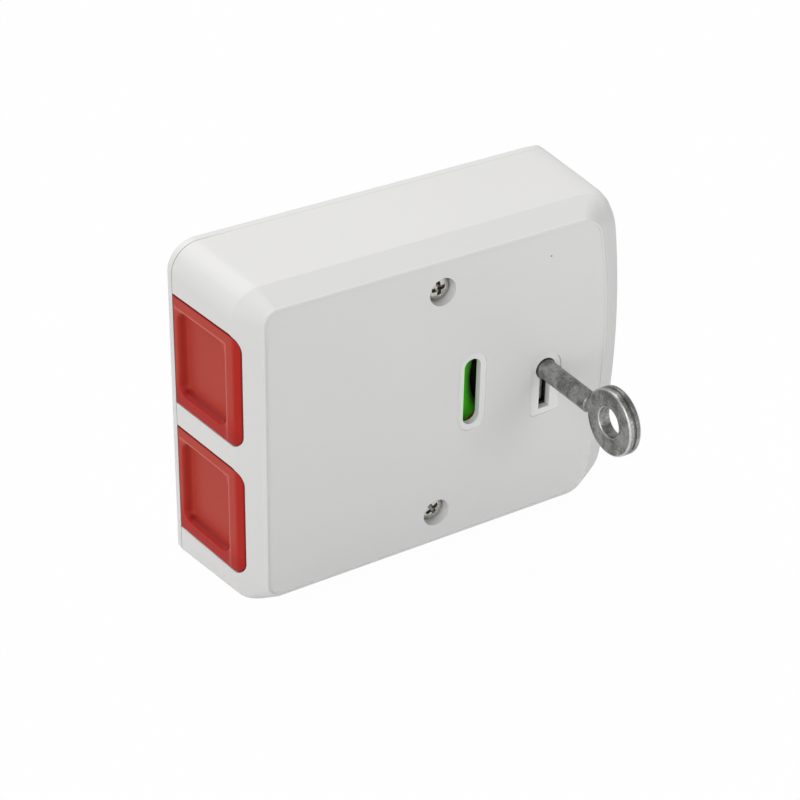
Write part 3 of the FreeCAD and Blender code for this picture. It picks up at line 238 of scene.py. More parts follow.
class Finish:
    """One material. Colours are written as they look on a screen, 0 to 255."""

    def __init__(self, name):
        self.material = bpy.data.materials.new(name)
        self.material.use_nodes = True
        self.tree = self.material.node_tree
        self.tree.nodes.clear()
        self.place = self.node("ShaderNodeTexCoord", output="Object")

    def node(self, kind, settings=None, inputs=None, output=0):
        """Adds a node: first its settings, then numbers and wires into its sockets."""
        made = self.tree.nodes.new(kind)
        for name, value in (settings or {}).items():
            setattr(made, name, value)
        for name, value in (inputs or {}).items():
            if isinstance(value, Wire):
                self.tree.links.new(value.socket, made.inputs[name])
            else:
                made.inputs[name].default_value = value
        return Wire(self, made.outputs[output])

    def maths(self, operation, *values):
        """A Math node on numbers and wires."""
        return self.node("ShaderNodeMath", {"operation": operation}, dict(enumerate(values)))

    def noise(self, size, detail=3.0):
        """Noise between 0 and 1 whose blots are about `size` metres across."""
        settings = {"Vector": self.place, "Scale": 1 / size, "Detail": detail}
        return self.node("ShaderNodeTexNoise", None, settings)

    def ease(self, value, start, finish):
        """0 before start and 1 after finish, with a soft change between."""
        settings = {"interpolation_type": "SMOOTHSTEP"}
        inputs = {"Value": value, "From Min": start, "From Max": finish}
        return self.node("ShaderNodeMapRange", settings, inputs)

    def mix(self, share, first, second):
        """A colour between two."""
        inputs = {0: share, 6: first, 7: second}
        return self.node("ShaderNodeMix", {"data_type": "RGBA"}, inputs, output=2)

    def bump(self, height, distance, normal=None):
        """A normal tilted by a height between 0 and 1 over a distance in metres."""
        inputs = {"Height": height, "Distance": distance}
        if normal:
            inputs["Normal"] = normal
        return self.node("ShaderNodeBump", None, inputs)

    def soft_edges(self, radius):
        """Normals that round the edges of a piece by a small radius."""
        return self.node("ShaderNodeBevel", {"samples": 6}, {"Radius": radius})

    def surface(self, **inputs):
        """The Principled surface of the finish, with `Base_Color` for its Base Color socket."""
        named = {name.replace("_", " "): value for name, value in inputs.items()}
        skin = self.node("ShaderNodeBsdfPrincipled", None, named)
        self.node_output(skin)
        return self.material

    def node_output(self, wire):
        output = self.tree.nodes.new("ShaderNodeOutputMaterial")
        self.tree.links.new(wire.socket, output.inputs["Surface"])


def colour(red, green, blue):
    """Linear colour of a screen colour: ((c + 0.055) / 1.055) ^ 2.4 with c from 0 to 1."""
    share = np.array([red, green, blue]) / 255
    linear = np.where(share > 0.04045, ((share + 0.055) / 1.055) ** 2.4, share / 12.92)
    return (*linear.tolist(), 1.0)


# %% [markdown]
# ## Moulded plastic
#
# Most of the pieces are injection moulded. Such plastic has one colour, but never quite: the flow of
# the melt leaves a faint cloudiness, and the spark-eroded mould leaves a fine grain that breaks up the
# gloss. One function makes every moulded finish, and each piece only brings its own colours.

# %% Moulded plastics
def moulded(name, main, cloud, roughness, grain=0.012 * mm, edge=0.25 * mm, gloss=0.5):
    """Plastic between two close colours in broad clouds, with a fine grain and softened edges."""
    finish = Finish(name)
    clouds = finish.noise(14 * mm)
    texture = finish.noise(0.35 * mm, detail=2.0)
    return finish.surface(
        Base_Color=finish.mix(clouds, colour(*main), colour(*cloud)),
        Roughness=roughness + 0.08 * texture,
        Specular_IOR_Level=gloss,
        Normal=finish.bump(texture, grain, finish.soft_edges(edge)),
    )


plastics = {
    "switch_black": moulded("switch_black", (34, 34, 36), (28, 28, 30), 0.4),
    "barrel_black": moulded("barrel_black", (22, 22, 22), (16, 16, 17), 0.45),
    "rotor_black": moulded("rotor_black", (14, 14, 15), (10, 10, 11), 0.5),
    "terminal_green": moulded("terminal_green", (38, 118, 62), (32, 104, 54), 0.42),
    "plunger_red": moulded("plunger_red", (150, 34, 30), (140, 30, 27), 0.4),
}
print("moulded finishes:", ", ".join(plastics))

# %% [markdown]
# ## The white housing
#
# The front cover and the rear cover are moulded in the same warm white plastic. Their CAD forms have leaning walls,
# bevels and a bowed end, so each is a merged copy of its node, which shades smoothly. The photograph shows one tiny
# dark speck on the panel, a black spot in the plastic, which a small round mask puts there. Painted shadow darkens the
# seam between the covers, darkest at the left end. A painted highlight makes the floor of the sunk borders round
# window and keyhole lighter than the panel.

# %% White plastic with one dark speck
plate = 2.05 * mm
rim_floor = -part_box("front_cover")[0].y - 0.55 * mm


def housing_white():
    """Warm white plastic; the speck is where the distance to its centre is under its radius."""
    finish = Finish("housing_white")
    clouds = finish.noise(30 * mm)
    texture = finish.noise(0.3 * mm, detail=2.0)
    centre = (24.9 * mm, -28.45 * mm, 26.5 * mm)
    reach = finish.node("ShaderNodeVectorMath", {"operation": "DISTANCE"},
                        {0: finish.place, 1: centre}, output="Value")
    white = finish.mix(clouds, colour(222, 222, 221), colour(219, 219, 219))
    speck = finish.mix(1 - finish.ease(reach, 0.12 * mm, 0.26 * mm), white, colour(120, 118, 114))
    across = finish.node("ShaderNodeSeparateXYZ", None, {0: finish.place}, output="X")
    depth = finish.node("ShaderNodeSeparateXYZ", None, {0: finish.place}, output="Y")
    # Painted shadow along the seam between the covers, darkest at the left end and faint further right.
    from_seam = finish.maths("ABSOLUTE", depth + plate)
    seam_shadow = 1 - finish.ease(from_seam, 0.05 * mm, 0.13 * mm)
    # Painted highlight: the floor of the sunk borders round window and keyhole is made lighter than the panel.
    from_rim = finish.maths("ABSOLUTE", depth + rim_floor)
    rim = 1 - finish.ease(from_rim, 0.03 * mm, 0.06 * mm)
    rim_highlighted = finish.mix(rim, speck, colour(229, 229, 228))
    return finish.surface(
        # The painted seam shadow mixes the white towards grey.
        Base_Color=finish.mix(seam_shadow * (0.85 - 0.65 * finish.ease(across, -42 * mm, -30 * mm)), rim_highlighted, colour(112, 112, 110)),
        Roughness=0.42 + 0.08 * texture,
        Specular_IOR_Level=0.4,
        Normal=finish.bump(texture, 0.006 * mm),
    )


plastics["housing_white"] = housing_white()

# %% [markdown]
# The photograph shows the upper right edge of the box nearly sharp, where the CAD rounds it by 6 mm. A
# boolean with a new corner would leave seams. Moving the corner's points outwards along rays from the
# axis of the round keeps every face, and the wall inside follows the wall outside.

# %% A sharper upper right edge
shoulder = 22.1 * mm
top_lean = 0.95 / 20.05
side_lean = 0.4 / 20.05
corner_round = 6 * mm
bow_radius = 195 * mm
corner_softness = 0.8 * mm


def from_axis(place):
    """Points seen from the axis of the corner's round, at their own depth: offset, distance, angle, the
    angle where the bowed side begins, and whether the round reaches them."""
    depth = -place[:, 1]
    rise = cad_box[1].z - top_lean * (depth - plate) - corner_round
    side = cad_box[1].x - side_lean * (depth - plate)
    reach = np.sqrt((bow_radius - corner_round) ** 2 - rise**2)
    offset = np.stack([place[:, 0] - (side - bow_radius + reach), np.zeros_like(depth), place[:, 2] - rise], axis=1)
    distance, angle = np.linalg.norm(offset, axis=1), np.arctan2(offset[:, 2], offset[:, 0])
    bow = np.arctan2(rise, reach)
    near = (angle > bow - 0.01) & (angle < np.pi / 2 + 0.01) & (distance > 2.5 * mm)
    return offset, distance, angle, bow, near


def sharpened(place, distance):
    """The points moved outwards. Along a ray at angle t the flat sides lie at R / sin t and at
    R / cos(t - bow). A soft minimum of the two takes the place of R, all the way behind the bevel and
    not at all on the panel."""
    offset, chord, angle, bow, near = from_axis(place)
    first = corner_round / np.where(near, np.sin(angle), 1)
    second = corner_round / np.where(near, np.cos(angle - bow), 1)
    sharp = (first + second) / 2 - np.sqrt(((first - second) / 2) ** 2 + corner_softness**2)
    share = 1 - easing((-place[:, 1] - 20.8 * mm) / (7.6 * mm))
    wanted = distance * (1 + share * (sharp / corner_round - 1))
    return place + offset * np.where(near, wanted / chord - 1, 0)[:, None]


def sharpen(cover):
    """Cuts the chords and the long edges of the round in five, then moves all points. The cuts lie on
    chords, so each point carries its distance from the axis in a layer, which they interpolate."""
    shape = bmesh.new()
    shape.from_mesh(cover.data)
    place = points_of(cover)
    distance, angle, bow, near = from_axis(place)[1:]
    layer = shape.verts.layers.float.new("distance")
    for vert, value in zip(shape.verts, distance):
        vert[layer] = value
    pairs = [(edge, [vert.index for vert in edge.verts]) for edge in shape.edges]
    chords = [edge for edge, ends in pairs if near[ends].all()
              and (np.ptp(angle[ends]) > math.radians(2) or np.ptp(place[ends, 1]) > 3 * mm)]
    bmesh.ops.subdivide_edges(shape, edges=chords, cuts=4, use_grid_fill=True)
    place = sharpened(np.array([vert.co for vert in shape.verts]), np.array([vert[layer] for vert in shape.verts]))
    for vert, point in zip(shape.verts, place):
        vert.co = point
    shape.verts.layers.float.remove(layer)
    shape.to_mesh(cover.data)
    shape.free()
    print(cover.name, "has", len(chords), "chords cut")


def points_of(thing):
    """The points of a mesh as an array."""
    flat = np.empty(len(thing.data.vertices) * 3)
    thing.data.vertices.foreach_get("co", flat)
    return flat.reshape(-1, 3)


# %% The two covers
front_cover = moulding("front_cover_moulding", "front_cover")
rear_cover = moulding("rear_cover_moulding", "rear_cover")
for cover, node in ((front_cover, "front_cover"), (rear_cover, "rear_cover")):
    sharpen(cover)
    cover.data.materials.append(plastics["housing_white"])
    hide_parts(node)
    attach(cover, "housing")

# %% [markdown]
# ## The red buttons
#
# Each button fills a slot in the leaning left wall and wraps round its shoulder onto the bevel. Its
# face has a shallow finger dish with soft edges. Sculpting such a face gives lumps, so it is worked out
# as rings of rounded rectangles: from the middle of the dish out to its wall, over the rim, round the
# edge and down the side. Each ring lies on the housing's leaning line, sunk by the dish's depth.

# %% Where the buttons lie
wall_lean = 1.95 / 20.05
bevel_lean = 3.05 / 6.6
button_gap = 0.25 * mm
button_low, button_high = {}, {}
for side in ("upper", "lower"):
    low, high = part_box(f"{side}_button")
    button_low[side], button_high[side] = low, high
left_wall = cad_box[0].x
flange_width = 1.1 * mm
button_half = (button_high["upper"].z - button_low["upper"].z) / 2 - flange_width
button_rear = plate + 0.1 * mm
button_front = -button_low["upper"].y
print("button half height", round(button_half / mm, 2), "front edge", round(button_front / mm, 2))


def leaning(depth, softness=0.08 * mm):
    """The housing's left side at a depth. The wall is left + lean * depth and the bevel a steeper line
    through the shoulder. The outer of the two is half their sum plus half their difference, and a
    small softness under the root rounds the shoulder."""
    wall = left_wall + wall_lean * (depth - plate)
    bevel = left_wall + wall_lean * (shoulder - plate) + bevel_lean * (depth - shoulder)
    return (wall + bevel) / 2 + np.sqrt(((wall - bevel) / 2) ** 2 + softness**2)


# %% The rings of a button's cap
button_corner = 3.0 * mm
edge_round = 0.3 * mm
dish_depth = 1.7 * mm
cap_back = left_wall + 5.4 * mm
cap_pocket = 1.2 * mm
cap_wall = 1.6 * mm


def cap_outline(inset, centre):
    """The button's outline, moved inwards by the inset."""
    tight = max(0.3 * mm - inset, 0.02 * mm)
    large = max(button_corner - inset, 0.02 * mm)
    low = (button_rear + inset, centre - button_half - 0.1 * mm + inset)
    high = (button_front - inset, centre + button_half - 0.1 * mm - inset)
    return rounded_rectangle(low, high, [tight, large, large, tight])


def dish_outline(inset, centre):
    """The upper edge of the dish, moved inwards by the inset."""
    radius = max(2.2 * mm - inset, 0.4 * mm)
    low = (plate + 1.45 * mm + inset, centre - button_half + 2.9 * mm + inset)
    high = (shoulder - 2.8 * mm - inset, centre + button_half - 2.9 * mm - inset)
    return rounded_rectangle(low, high, [radius] * 4)


def on_face(outline, sunk):
    """Points of an outline of (depth, height) on the leaning face, sunk below it."""
    return np.stack([leaning(outline[:, 0]) + sunk, -outline[:, 0], outline[:, 1]], axis=1)


def cap_rings(centre):
    """Rings from the middle of the dish to the middle of the hollow behind the cap."""
    dish_edge, dish_run = -0.35 * mm, 1.5 * mm
    floor = dish_outline(dish_edge + dish_run, centre)
    middle = floor.mean(axis=0)
    rings = [on_face(middle + share * (floor - middle), dish_depth) for share in np.linspace(0.05, 1, 8)]
    for share in np.linspace(1, 0, 25)[1:]:
        outline = dish_outline(dish_edge + share * dish_run, centre)
        rings.append(on_face(outline, dish_depth * easing(share)))
    lip, rim = dish_outline(dish_edge, centre), cap_outline(edge_round, centre)
    rings += [on_face(lip + share * (rim - lip), 0) for share in np.linspace(0, 1, 22)[1:]]
    for angle in np.linspace(0, np.pi / 2, 7)[1:]:
        outline = cap_outline(edge_round * (1 - np.sin(angle)), centre)
        rings.append(on_face(outline, edge_round * (1 - np.cos(angle))))
    for inset, x in ((0, cap_back), (cap_wall, cap_back), (cap_wall, cap_back - cap_pocket)):
        outline = cap_outline(inset, centre)
        rings.append(np.stack([np.full(len(outline), x), -outline[:, 0], outline[:, 1]], axis=1))
    return np.stack(rings)


# %% Flange, stem and finger
def flange_rings(centre):
    """A flat frame behind the slot: out at its front face, back along its edge, in again."""
    thick = 1.2 * mm
    reach = button_half + flange_width
    front = shoulder - 3.1 * mm
    outer = rounded_rectangle((button_rear, centre - reach), (front, centre + reach), [0.3 * mm] * 4)
    inner_low = (button_rear + cap_wall, centre - button_half + cap_wall)
    inner_high = (front - cap_wall, centre + button_half - cap_wall)
    inner = rounded_rectangle(inner_low, inner_high, [0.3 * mm] * 4)
    levels = ((inner, cap_back - thick), (outer, cap_back - thick), (outer, cap_back), (inner, cap_back))
    return np.stack([np.stack([np.full(len(o), x), -o[:, 0], o[:, 1]], axis=1) for o, x in levels])


stem_half = 2.5 * mm
stem_back, stem_front = 12.0 * mm, 17.0 * mm
finger_back = 15.0 * mm
hook_top = 18.7 * mm
stem_end = -15.0 * mm
hook_end = button_high["upper"].x
hook_length = 2.0 * mm
ramp_low, ramp_start, ramp_end = 13.45 * mm, -10.3 * mm, -2.55 * mm


def finger_rings(centre):
    """The stem, the catch finger with its hook and the ramp under it: one side outline of (x, depth), carried across
    the width."""
    outline = np.array([
        (cap_back - cap_pocket, stem_back), (stem_end, stem_back), (stem_end, ramp_low),
        (ramp_start, ramp_low), (ramp_end, finger_back), (hook_end, finger_back),
        (hook_end, hook_top), (hook_end - hook_length, hook_top), (hook_end - hook_length, stem_front),
        (cap_back - cap_pocket, stem_front),
    ])
    heights = centre + stem_half * np.array([-1, 1])
    return np.stack([np.stack([outline[:, 0], -outline[:, 1], np.full(len(outline), z)], axis=1)
                     for z in heights])


# %% [markdown]
# The red is painted lighter on the floor of the dish and on the rim above it, a painted reflection of the white
# surroundings. It is deeper on the bevel. Painted shade makes it darkest on the dish's lower and rear walls, on the
# lower rim and in the gaps along the cap's top and front edges, where only red is mirrored. A painted highlight runs
# as a soft light line along the upper and front lip of the dish. Three point attributes hold where each of these lies,
# so the pattern moves with the button, and the finish mixes its reds by them.

# %% Red plastic
def button_red():
    """Deep red, lighter by a painted reflection, darker by painted shade (`wall`) and with a painted highlight line
    (`lip`).
    """
    finish = Finish("button_red")
    painted_sheen, wall, lip = [finish.node("ShaderNodeAttribute", {"attribute_name": name}, output="Fac")
                       for name in ("painted_sheen", "wall", "lip")]
    clouds = finish.noise(6 * mm)
    texture = finish.noise(0.3 * mm, detail=2.0)
    deep = finish.mix(clouds, colour(180, 36, 27), colour(174, 33, 25))
    # Painted reflection: a lighter red where the dish floor and upper rim mirror the white surroundings.
    sheen_red = finish.mix(clouds, colour(181, 61, 48), colour(175, 57, 45))
    # Painted highlight: a soft light line along the upper and front lip of the dish.
    face = finish.mix(0.55 * lip, finish.mix(painted_sheen, deep, sheen_red), colour(220, 126, 114))
    return finish.surface(
        # Painted shade: darker red on the lower and rear dish walls, the lower rim and in the gaps along the top and
        # front edges.
        Base_Color=finish.mix(0.85 * wall, face, colour(142, 6, 3)),
        Roughness=0.34 + 0.08 * texture,
        Specular_IOR_Level=0.12,
        Normal=finish.bump(texture, 0.008 * mm),
    )


plastics["button_red"] = button_red()


def mark(thing, **values):
    """Stores one number for each point of a mesh under each name."""
    for name, value in values.items():
        attribute = thing.data.attributes.new(name, "FLOAT", "POINT")
        attribute.data.foreach_set("value", np.asarray(value, dtype=np.float32))


def button_marks(place, centre):
    """How much painted reflection, painted shade and painted highlight each point gets. The share d of the dish's
    depth tells floor (1) from rim (0), and 4 d (1 - d) is 1 halfway down its walls."""
    depth, height = -place[:, 1], place[:, 2] - centre + button_half
    sunk = place[:, 0] - leaning(depth)
    front = sunk < 2 * mm
    inside = front & (np.abs(place[:, 2] - centre) < button_half - 2 * mm) & (depth < shoulder - 2 * mm)
    dish = np.where(inside, np.clip(sunk / dish_depth, 0, 1), 0)
    low = easing((4.6 * mm - height) / mm)
    rear = easing((plate + 3.1 * mm - depth) / mm)
    slope = 4 * dish * (1 - dish)
    # Painted reflection on the upper rim.
    rim = easing((height - 2 * mm) / (7 * mm)) * easing((shoulder + 0.4 * mm - depth) / mm)
    # Painted highlight along the upper and front lip of the dish.
    beyond = np.maximum(height - 2 * button_half + 2.55 * mm, depth - shoulder + 2.45 * mm)
    # Painted shade on the lower rim and in the gaps along the cap's top and front edges.
    low_rim_shade = (1 - dish) * (1 - easing((height - 2 * mm) / (3 * mm)))
    top_gap_shade = easing((height - 2 * button_half + 0.42 * mm) / (0.2 * mm))
    front_gap_shade = easing((depth - button_front + 0.3 * mm) / (0.2 * mm))
    return {
        "painted_sheen": np.where(front, dish + (1 - dish) * rim, 0),
        "wall": np.max([slope * low, 0.7 * slope * rear, 0.3 * low_rim_shade, top_gap_shade, 0.7 * front_gap_shade], axis=0),
        "lip": np.where(front, easing(1 - np.abs(beyond) / (0.45 * mm)), 0),
    }


# %% The two buttons
buttons = {}
for side in ("upper", "lower"):
    centre = (button_low[side].z + button_high[side].z) / 2
    skins = [skin(cap_rings(centre)), skin(flange_rings(centre), "joined"), skin(finger_rings(centre), "flat")]
    button = solid(f"{side}_push_button", skins)
    mark(button, **button_marks(points_of(button), centre))
    button.data.materials.append(plastics["button_red"])
    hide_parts(f"{side}_button")
    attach(button, f"{side}_button")
    buttons[side] = button

# %% [markdown]
# ## Metals
#
# The key is cast in zinc and never polished, so its skin is mottled grey with dark pits. The screws
# are nickel plated steel, bright and smooth, and the springs are plain wire. All three are fully
# metallic, and what tells them apart is how rough and how even they are.

# %% Cast zinc, plated steel and spring wire
def cast_zinc():
    """Grey mottled in three sizes of blots, darker in the pits, rougher where darker. A point attribute paints a
    highlight, partly wear, on the ring's edges and smooths them, and `groove` paints shade into the groove round the
    rim."""
    finish = Finish("key_zinc")
    broad, fine, pits = finish.noise(2.6 * mm), finish.noise(0.5 * mm), finish.noise(0.22 * mm)
    share = finish.ease(0.55 * broad + 0.3 * fine + 0.15 * pits, 0.36, 0.66)
    worn, groove = [finish.node("ShaderNodeAttribute", {"attribute_name": name}, output="Fac")
                    for name in ("worn", "groove")]
    cast = finish.mix(share, colour(112, 112, 110), colour(176, 176, 173))
    # Painted highlight, partly wear: the ring's edges are made near white.
    edge_highlighted = finish.mix(0.45 * worn, cast, colour(250, 250, 247))
    return finish.surface(
        # Painted shade in the groove round the rim.
        Base_Color=finish.mix(0.6 * groove, edge_highlighted, colour(66, 66, 65)),
        Metallic=0.9,
        Roughness=0.46 - 0.14 * share - 0.1 * worn,
        Normal=finish.bump(fine + 0.6 * pits, 0.05 * mm, finish.soft_edges(0.12 * mm)),
    )


def drawn_metal(name, bright, dull, roughness, blot=0.6 * mm):
    """Even metal with faint smudges, and painted shade where the attribute `recess` is 1."""
    finish = Finish(name)
    smudge = finish.noise(blot)
    recess = finish.node("ShaderNodeAttribute", {"attribute_name": "recess"}, output="Fac")
    even = finish.mix(smudge, colour(*dull), colour(*bright))
    return finish.surface(
        # Painted shade in the cross recess.
        Base_Color=finish.mix(0.65 * recess, even, colour(70, 66, 60)),
        Metallic=1.0,
        Roughness=roughness + 0.12 * smudge,
        Normal=finish.bump(smudge, 0.004 * mm),
    )


metals = {
    "key_zinc": cast_zinc(),
    "screw_steel": drawn_metal("screw_steel", (214, 212, 206), (168, 166, 160), 0.2),
    "spring_steel": drawn_metal("spring_steel", (176, 176, 178), (130, 131, 134), 0.28),
}
print("metals:", ", ".join(metals))

# %% [markdown]
# ## The reset key
#
# The key is one casting: a round shaft, a flat bit that fits the slot below the keyhole, and a ring
# with a shallow groove round its rim. Shaft and ring are turned shapes about different axes. A lathe
# modifier could turn them too, but an array of rings needs no modifier and keeps its exact radii.

# %% Where the key lies
key_low, key_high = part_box("reset_key")
lock_x = (key_low.x + key_high.x) / 2
ring_radius = 7.05 * mm
ring_hole = 3.15 * mm
ring_depth = -key_low.y - ring_radius
lock_z = key_high.z - ring_radius
ring_half = 1.4 * mm
key_tip = -key_high.y
shaft_radius = 2.1 * mm
print("lock axis", round(lock_x / mm, 2), round(lock_z / mm, 2), "ring depth", round(ring_depth / mm, 2))


# %% Shaft, ring and bit
def shaft_rings():
    """Turned about the lock's axis: a blunt tip, the straight shaft and a narrower neck that runs
    into the ring."""
    neck = ring_depth - ring_radius - 0.75 * mm
    tip_round = np.linspace(0, np.pi / 2, 6)
    ends = shaft_radius - 0.4 * mm * (1 - np.sin(tip_round))
    depths = key_tip + 0.4 * mm * (1 - np.cos(tip_round))
    shoulder_round = np.linspace(0, np.pi / 2, 7)
    depths = np.concatenate([depths, neck + 0.5 * mm * np.sin(shoulder_round), [ring_depth - ring_radius + mm]])
    fall = shaft_radius - 0.45 * mm * (1 - np.cos(shoulder_round))
    radii = np.concatenate([ends, fall, [shaft_radius - 0.45 * mm]])
    return turned(depths, radii, (lock_x, 0, lock_z), (0, -1, 0), (1, 0, 0))


def ring_profile():
    """Half a section of the ring as (offset, radius): hole edge, face, rounded rim and half groove."""
    curve = np.linspace(0, np.pi / 2, 7)
    hole_edge = 0.35 * mm
    hole = np.stack([ring_half - hole_edge * (1 - np.sin(curve)), ring_hole + hole_edge * (1 - np.cos(curve))])
    rim_edge = 0.45 * mm
    rim = np.stack([ring_half - rim_edge * (1 - np.cos(curve)), ring_radius - rim_edge * (1 - np.sin(curve))])
    groove = np.array([(0.36, 0.31, 0.24, 0.12), (0, 0.06, 0.3, 0.35)]) * mm
    groove[1] = ring_radius - groove[1]
    return np.concatenate([hole, rim, groove], axis=1)


def ring_rings():
    """The ring is turned about its own axis, which runs along the width."""
    half = ring_profile()
    whole = np.concatenate([half, half[:, ::-1] * np.array([[-1], [1]])], axis=1)
    return turned(whole[0], whole[1], (lock_x, -ring_depth, lock_z), (1, 0, 0), (0, 0, 1), steps=160)


def bit_rings():
    """A flat bit with softened edges, carried from its lower end up into the shaft."""
    half, soft = 1.1 * mm, 0.2 * mm
    near, far = key_tip + 4.6 * mm, key_tip + 0.3 * mm
    low = key_low.z if key_low.z < lock_z - 8 * mm else lock_z - 8.7 * mm
    levels = []
    for inset, height in ((soft, low), (0.06 * mm, low + 0.06 * mm), (0, low + soft), (0, lock_z)):
        outline = rounded_rectangle((lock_x - half + inset, -near + inset),
                                    (lock_x + half - inset, -far - inset), [soft] * 4, bend=5, run=2)
        levels.append(np.column_stack([outline, np.full(len(outline), height)]))
    return np.stack(levels)


key = solid("reset_key_casting", [skin(shaft_rings()), skin(ring_rings(), "joined"), skin(bit_rings())])
place = points_of(key)
offset, radius = np.abs(place[:, 0] - lock_x), np.hypot(place[:, 1] + ring_depth, place[:, 2] - lock_z)
outer = np.clip((radius - ring_radius) / (0.45 * mm) + 1, 0, 1) * np.clip((offset - ring_half) / (0.45 * mm) + 1, 0, 1)
inner = np.clip((ring_hole - radius) / (0.35 * mm) + 1, 0, 1) * np.clip((offset - ring_half) / (0.35 * mm) + 1, 0, 1)
on_ring = radius < ring_radius + 0.01 * mm
# Painted highlight, partly wear, along the ring's rim and hole edges, and painted shade in the groove round the rim.
mark(key, worn=np.where(on_ring, np.minimum(2 * outer + 1.2 * inner, 1), 0),
     groove=np.where(on_ring & (radius > ring_radius - 0.5 * mm) & (offset < 0.27 * mm), 1, 0))
key.data.materials.append(metals["key_zinc"])
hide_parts("reset_key")
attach(key, "reset_key")

# %% [markdown]
# ## The cover screws
#
# Two pan head screws hold the front cover. Their heads lie deep in round recesses, and the cross
# recess catches most of the eye. A boolean would cut it with hard edges. Here the head is a height
# over a disc, and the cross is part of the height, so its walls lean and its edges are soft.

# %% A pan head with a cross recess
screw_low, screw_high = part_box("cover_screws")
head_radius = 2.6 * mm
shank_radius = 1.4 * mm
head_top = -screw_low.y
shank_tip = -screw_high.y
head_seat = shank_tip + 17.0 * mm
screw_x = (screw_low.x + screw_high.x) / 2
screw_middle = (screw_low.z + screw_high.z) / 2
screw_reach = (screw_high.z - screw_low.z) / 2 - head_radius


def cross_depth(across, up, turn):
    """Depth of the cross recess: a wing is where the smaller of |p| and |q| is under half the wing's
    width and the larger under half the span, with p and q turned by an angle."""
    p = np.abs(across * np.cos(turn) + up * np.sin(turn))
    q = np.abs(up * np.cos(turn) - across * np.sin(turn))
    thin, far = np.minimum(p, q), np.maximum(p, q)
    wing = easing((0.5 * mm - thin) / (0.22 * mm)) * easing((1.6 * mm - far) / (0.45 * mm))
    return wing * (1.15 * mm - 0.35 * far)


def screw_rings(height, turn):
    """The head from its middle outwards, its rim, its seat, and the threaded shank down to the tip.
    The crown falls as 0.5 (r/R)^2 and its rim is a quarter round."""
    steps = 144
    angle = np.linspace(0, 2 * np.pi, steps, endpoint=False)
    radius = np.concatenate([np.linspace(0.02, 2.1, 46), 2.1 + 0.5 * np.sin(np.linspace(0.2, np.pi / 2, 7))]) * mm
    fall = 0.34 * mm * (radius / head_radius) ** 2
    fall[46:] += 0.5 * mm * (1 - np.cos(np.linspace(0.2, np.pi / 2, 7)))
    across, up = radius[:, None] * np.cos(angle), radius[:, None] * np.sin(angle)
    depth = head_top - fall[:, None] - cross_depth(across, up, turn)
    seat = [(head_radius, head_seat), (shank_radius, head_seat)]
    thread_depth = np.linspace(head_seat - 0.3 * mm, shank_tip + 1.2 * mm, 150)
    pitch = 1.1 * mm
    crest = np.abs((thread_depth[:, None] / pitch - angle / (2 * np.pi)) % 1 - 0.5) * 2
    thread = shank_radius - 0.28 * mm * easing(crest)
    tip = np.array([(0.7 * mm, shank_tip + 0.5 * mm), (0.1 * mm, shank_tip)])
    radii = [np.full(steps, r) for r, d in seat] + list(thread) + [np.full(steps, r) for r, d in tip]
    depths = [np.full(steps, d) for r, d in seat] + [np.full(steps, d) for d in thread_depth]
    depths += [np.full(steps, d) for r, d in tip]
    radii = np.concatenate([np.repeat(radius[:, None], steps, axis=1), np.stack(radii)])
    depths = np.concatenate([depth, np.stack(depths)])
    return np.stack([screw_x + radii * np.cos(angle), -depths, height + radii * np.sin(angle)], axis=-1)


heights = {"upper": screw_middle + screw_reach, "lower": screw_middle - screw_reach}
turns = {"upper": math.radians(8), "lower": math.radians(31)}
screws = solid("cover_screw_pair", [skin(screw_rings(heights[side], turns[side])) for side in heights], sharp=50)
place = points_of(screws)
# Painted shade where the cross recess lies in each head.
recess = np.zeros(len(place))
for side, height in heights.items():
    across, up = place[:, 0] - screw_x, place[:, 2] - height
    head = (np.hypot(across, up) < 2.1 * mm) & (-place[:, 1] > head_top - 1.4 * mm)
    recess += np.where(head, easing(cross_depth(across, up, turns[side]) / (0.5 * mm)), 0)
mark(screws, recess=recess)
screws.data.materials.append(metals["screw_steel"])
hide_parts("cover_screws")
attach(screws, "housing")

# %% [markdown]
# ## The button springs
#
# Behind each button a coil spring lies round its stem. A screw modifier or a bevelled curve would make a coil, but its
# end turns would not lie flat. As a tube along a formula, the pitch can ease to nothing at both ends, as on a real
# compression spring.

# %% Coils with flat ends
def spring_rings(low, high, middle):
    """A circle carried along a helix. The helix turns round the stem's axis while it advances by an
    eased share of its length; normal is the spoke and binormal is tangent x spoke."""
    turns = 4.0
    wire = 0.35 * mm
    mean = 4.2 * mm
    share = np.linspace(0, 1, 360)
    angle = 2 * np.pi * turns * share
    along = low + wire + (high - low - 2 * wire) * (0.5 * share + 0.5 * easing(share))
    spoke = np.stack([np.zeros_like(angle), -np.cos(angle), np.sin(angle)], axis=1)
    path = np.array(middle) + mean * spoke
    path[:, 0] = along
    tangent = np.gradient(path, axis=0)
    tangent /= np.linalg.norm(tangent, axis=1, keepdims=True)
    second = np.cross(tangent, spoke)
    round_angle = np.linspace(0, 2 * np.pi, 14, endpoint=False)
    ring = np.cos(round_angle)[:, None] * spoke[:, None] + np.sin(round_angle)[:, None] * second[:, None]
    return path[:, None] + wire * ring


for side in ("upper", "lower"):
    low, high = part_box(f"{side}_button_spring")
    middle = (0, (low.y + high.y) / 2, (low.z + high.z) / 2)
    coil = solid(f"{side}_return_spring", [skin(spring_rings(low.x, high.x, middle))], sharp=60)
    coil.data.materials.append(metals["spring_steel"])
    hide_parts(f"{side}_button_spring")
    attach(coil, "housing")
    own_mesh(coil)

# %% [markdown]
# ## The flags behind the window
#
# The window shows a strip of a half-round flag that swings past on the rotor. It is a half circle carried along an arc
# about the lock's axis. Its left flank catches light through the window, and painted shade fades the green to black
# towards the right.

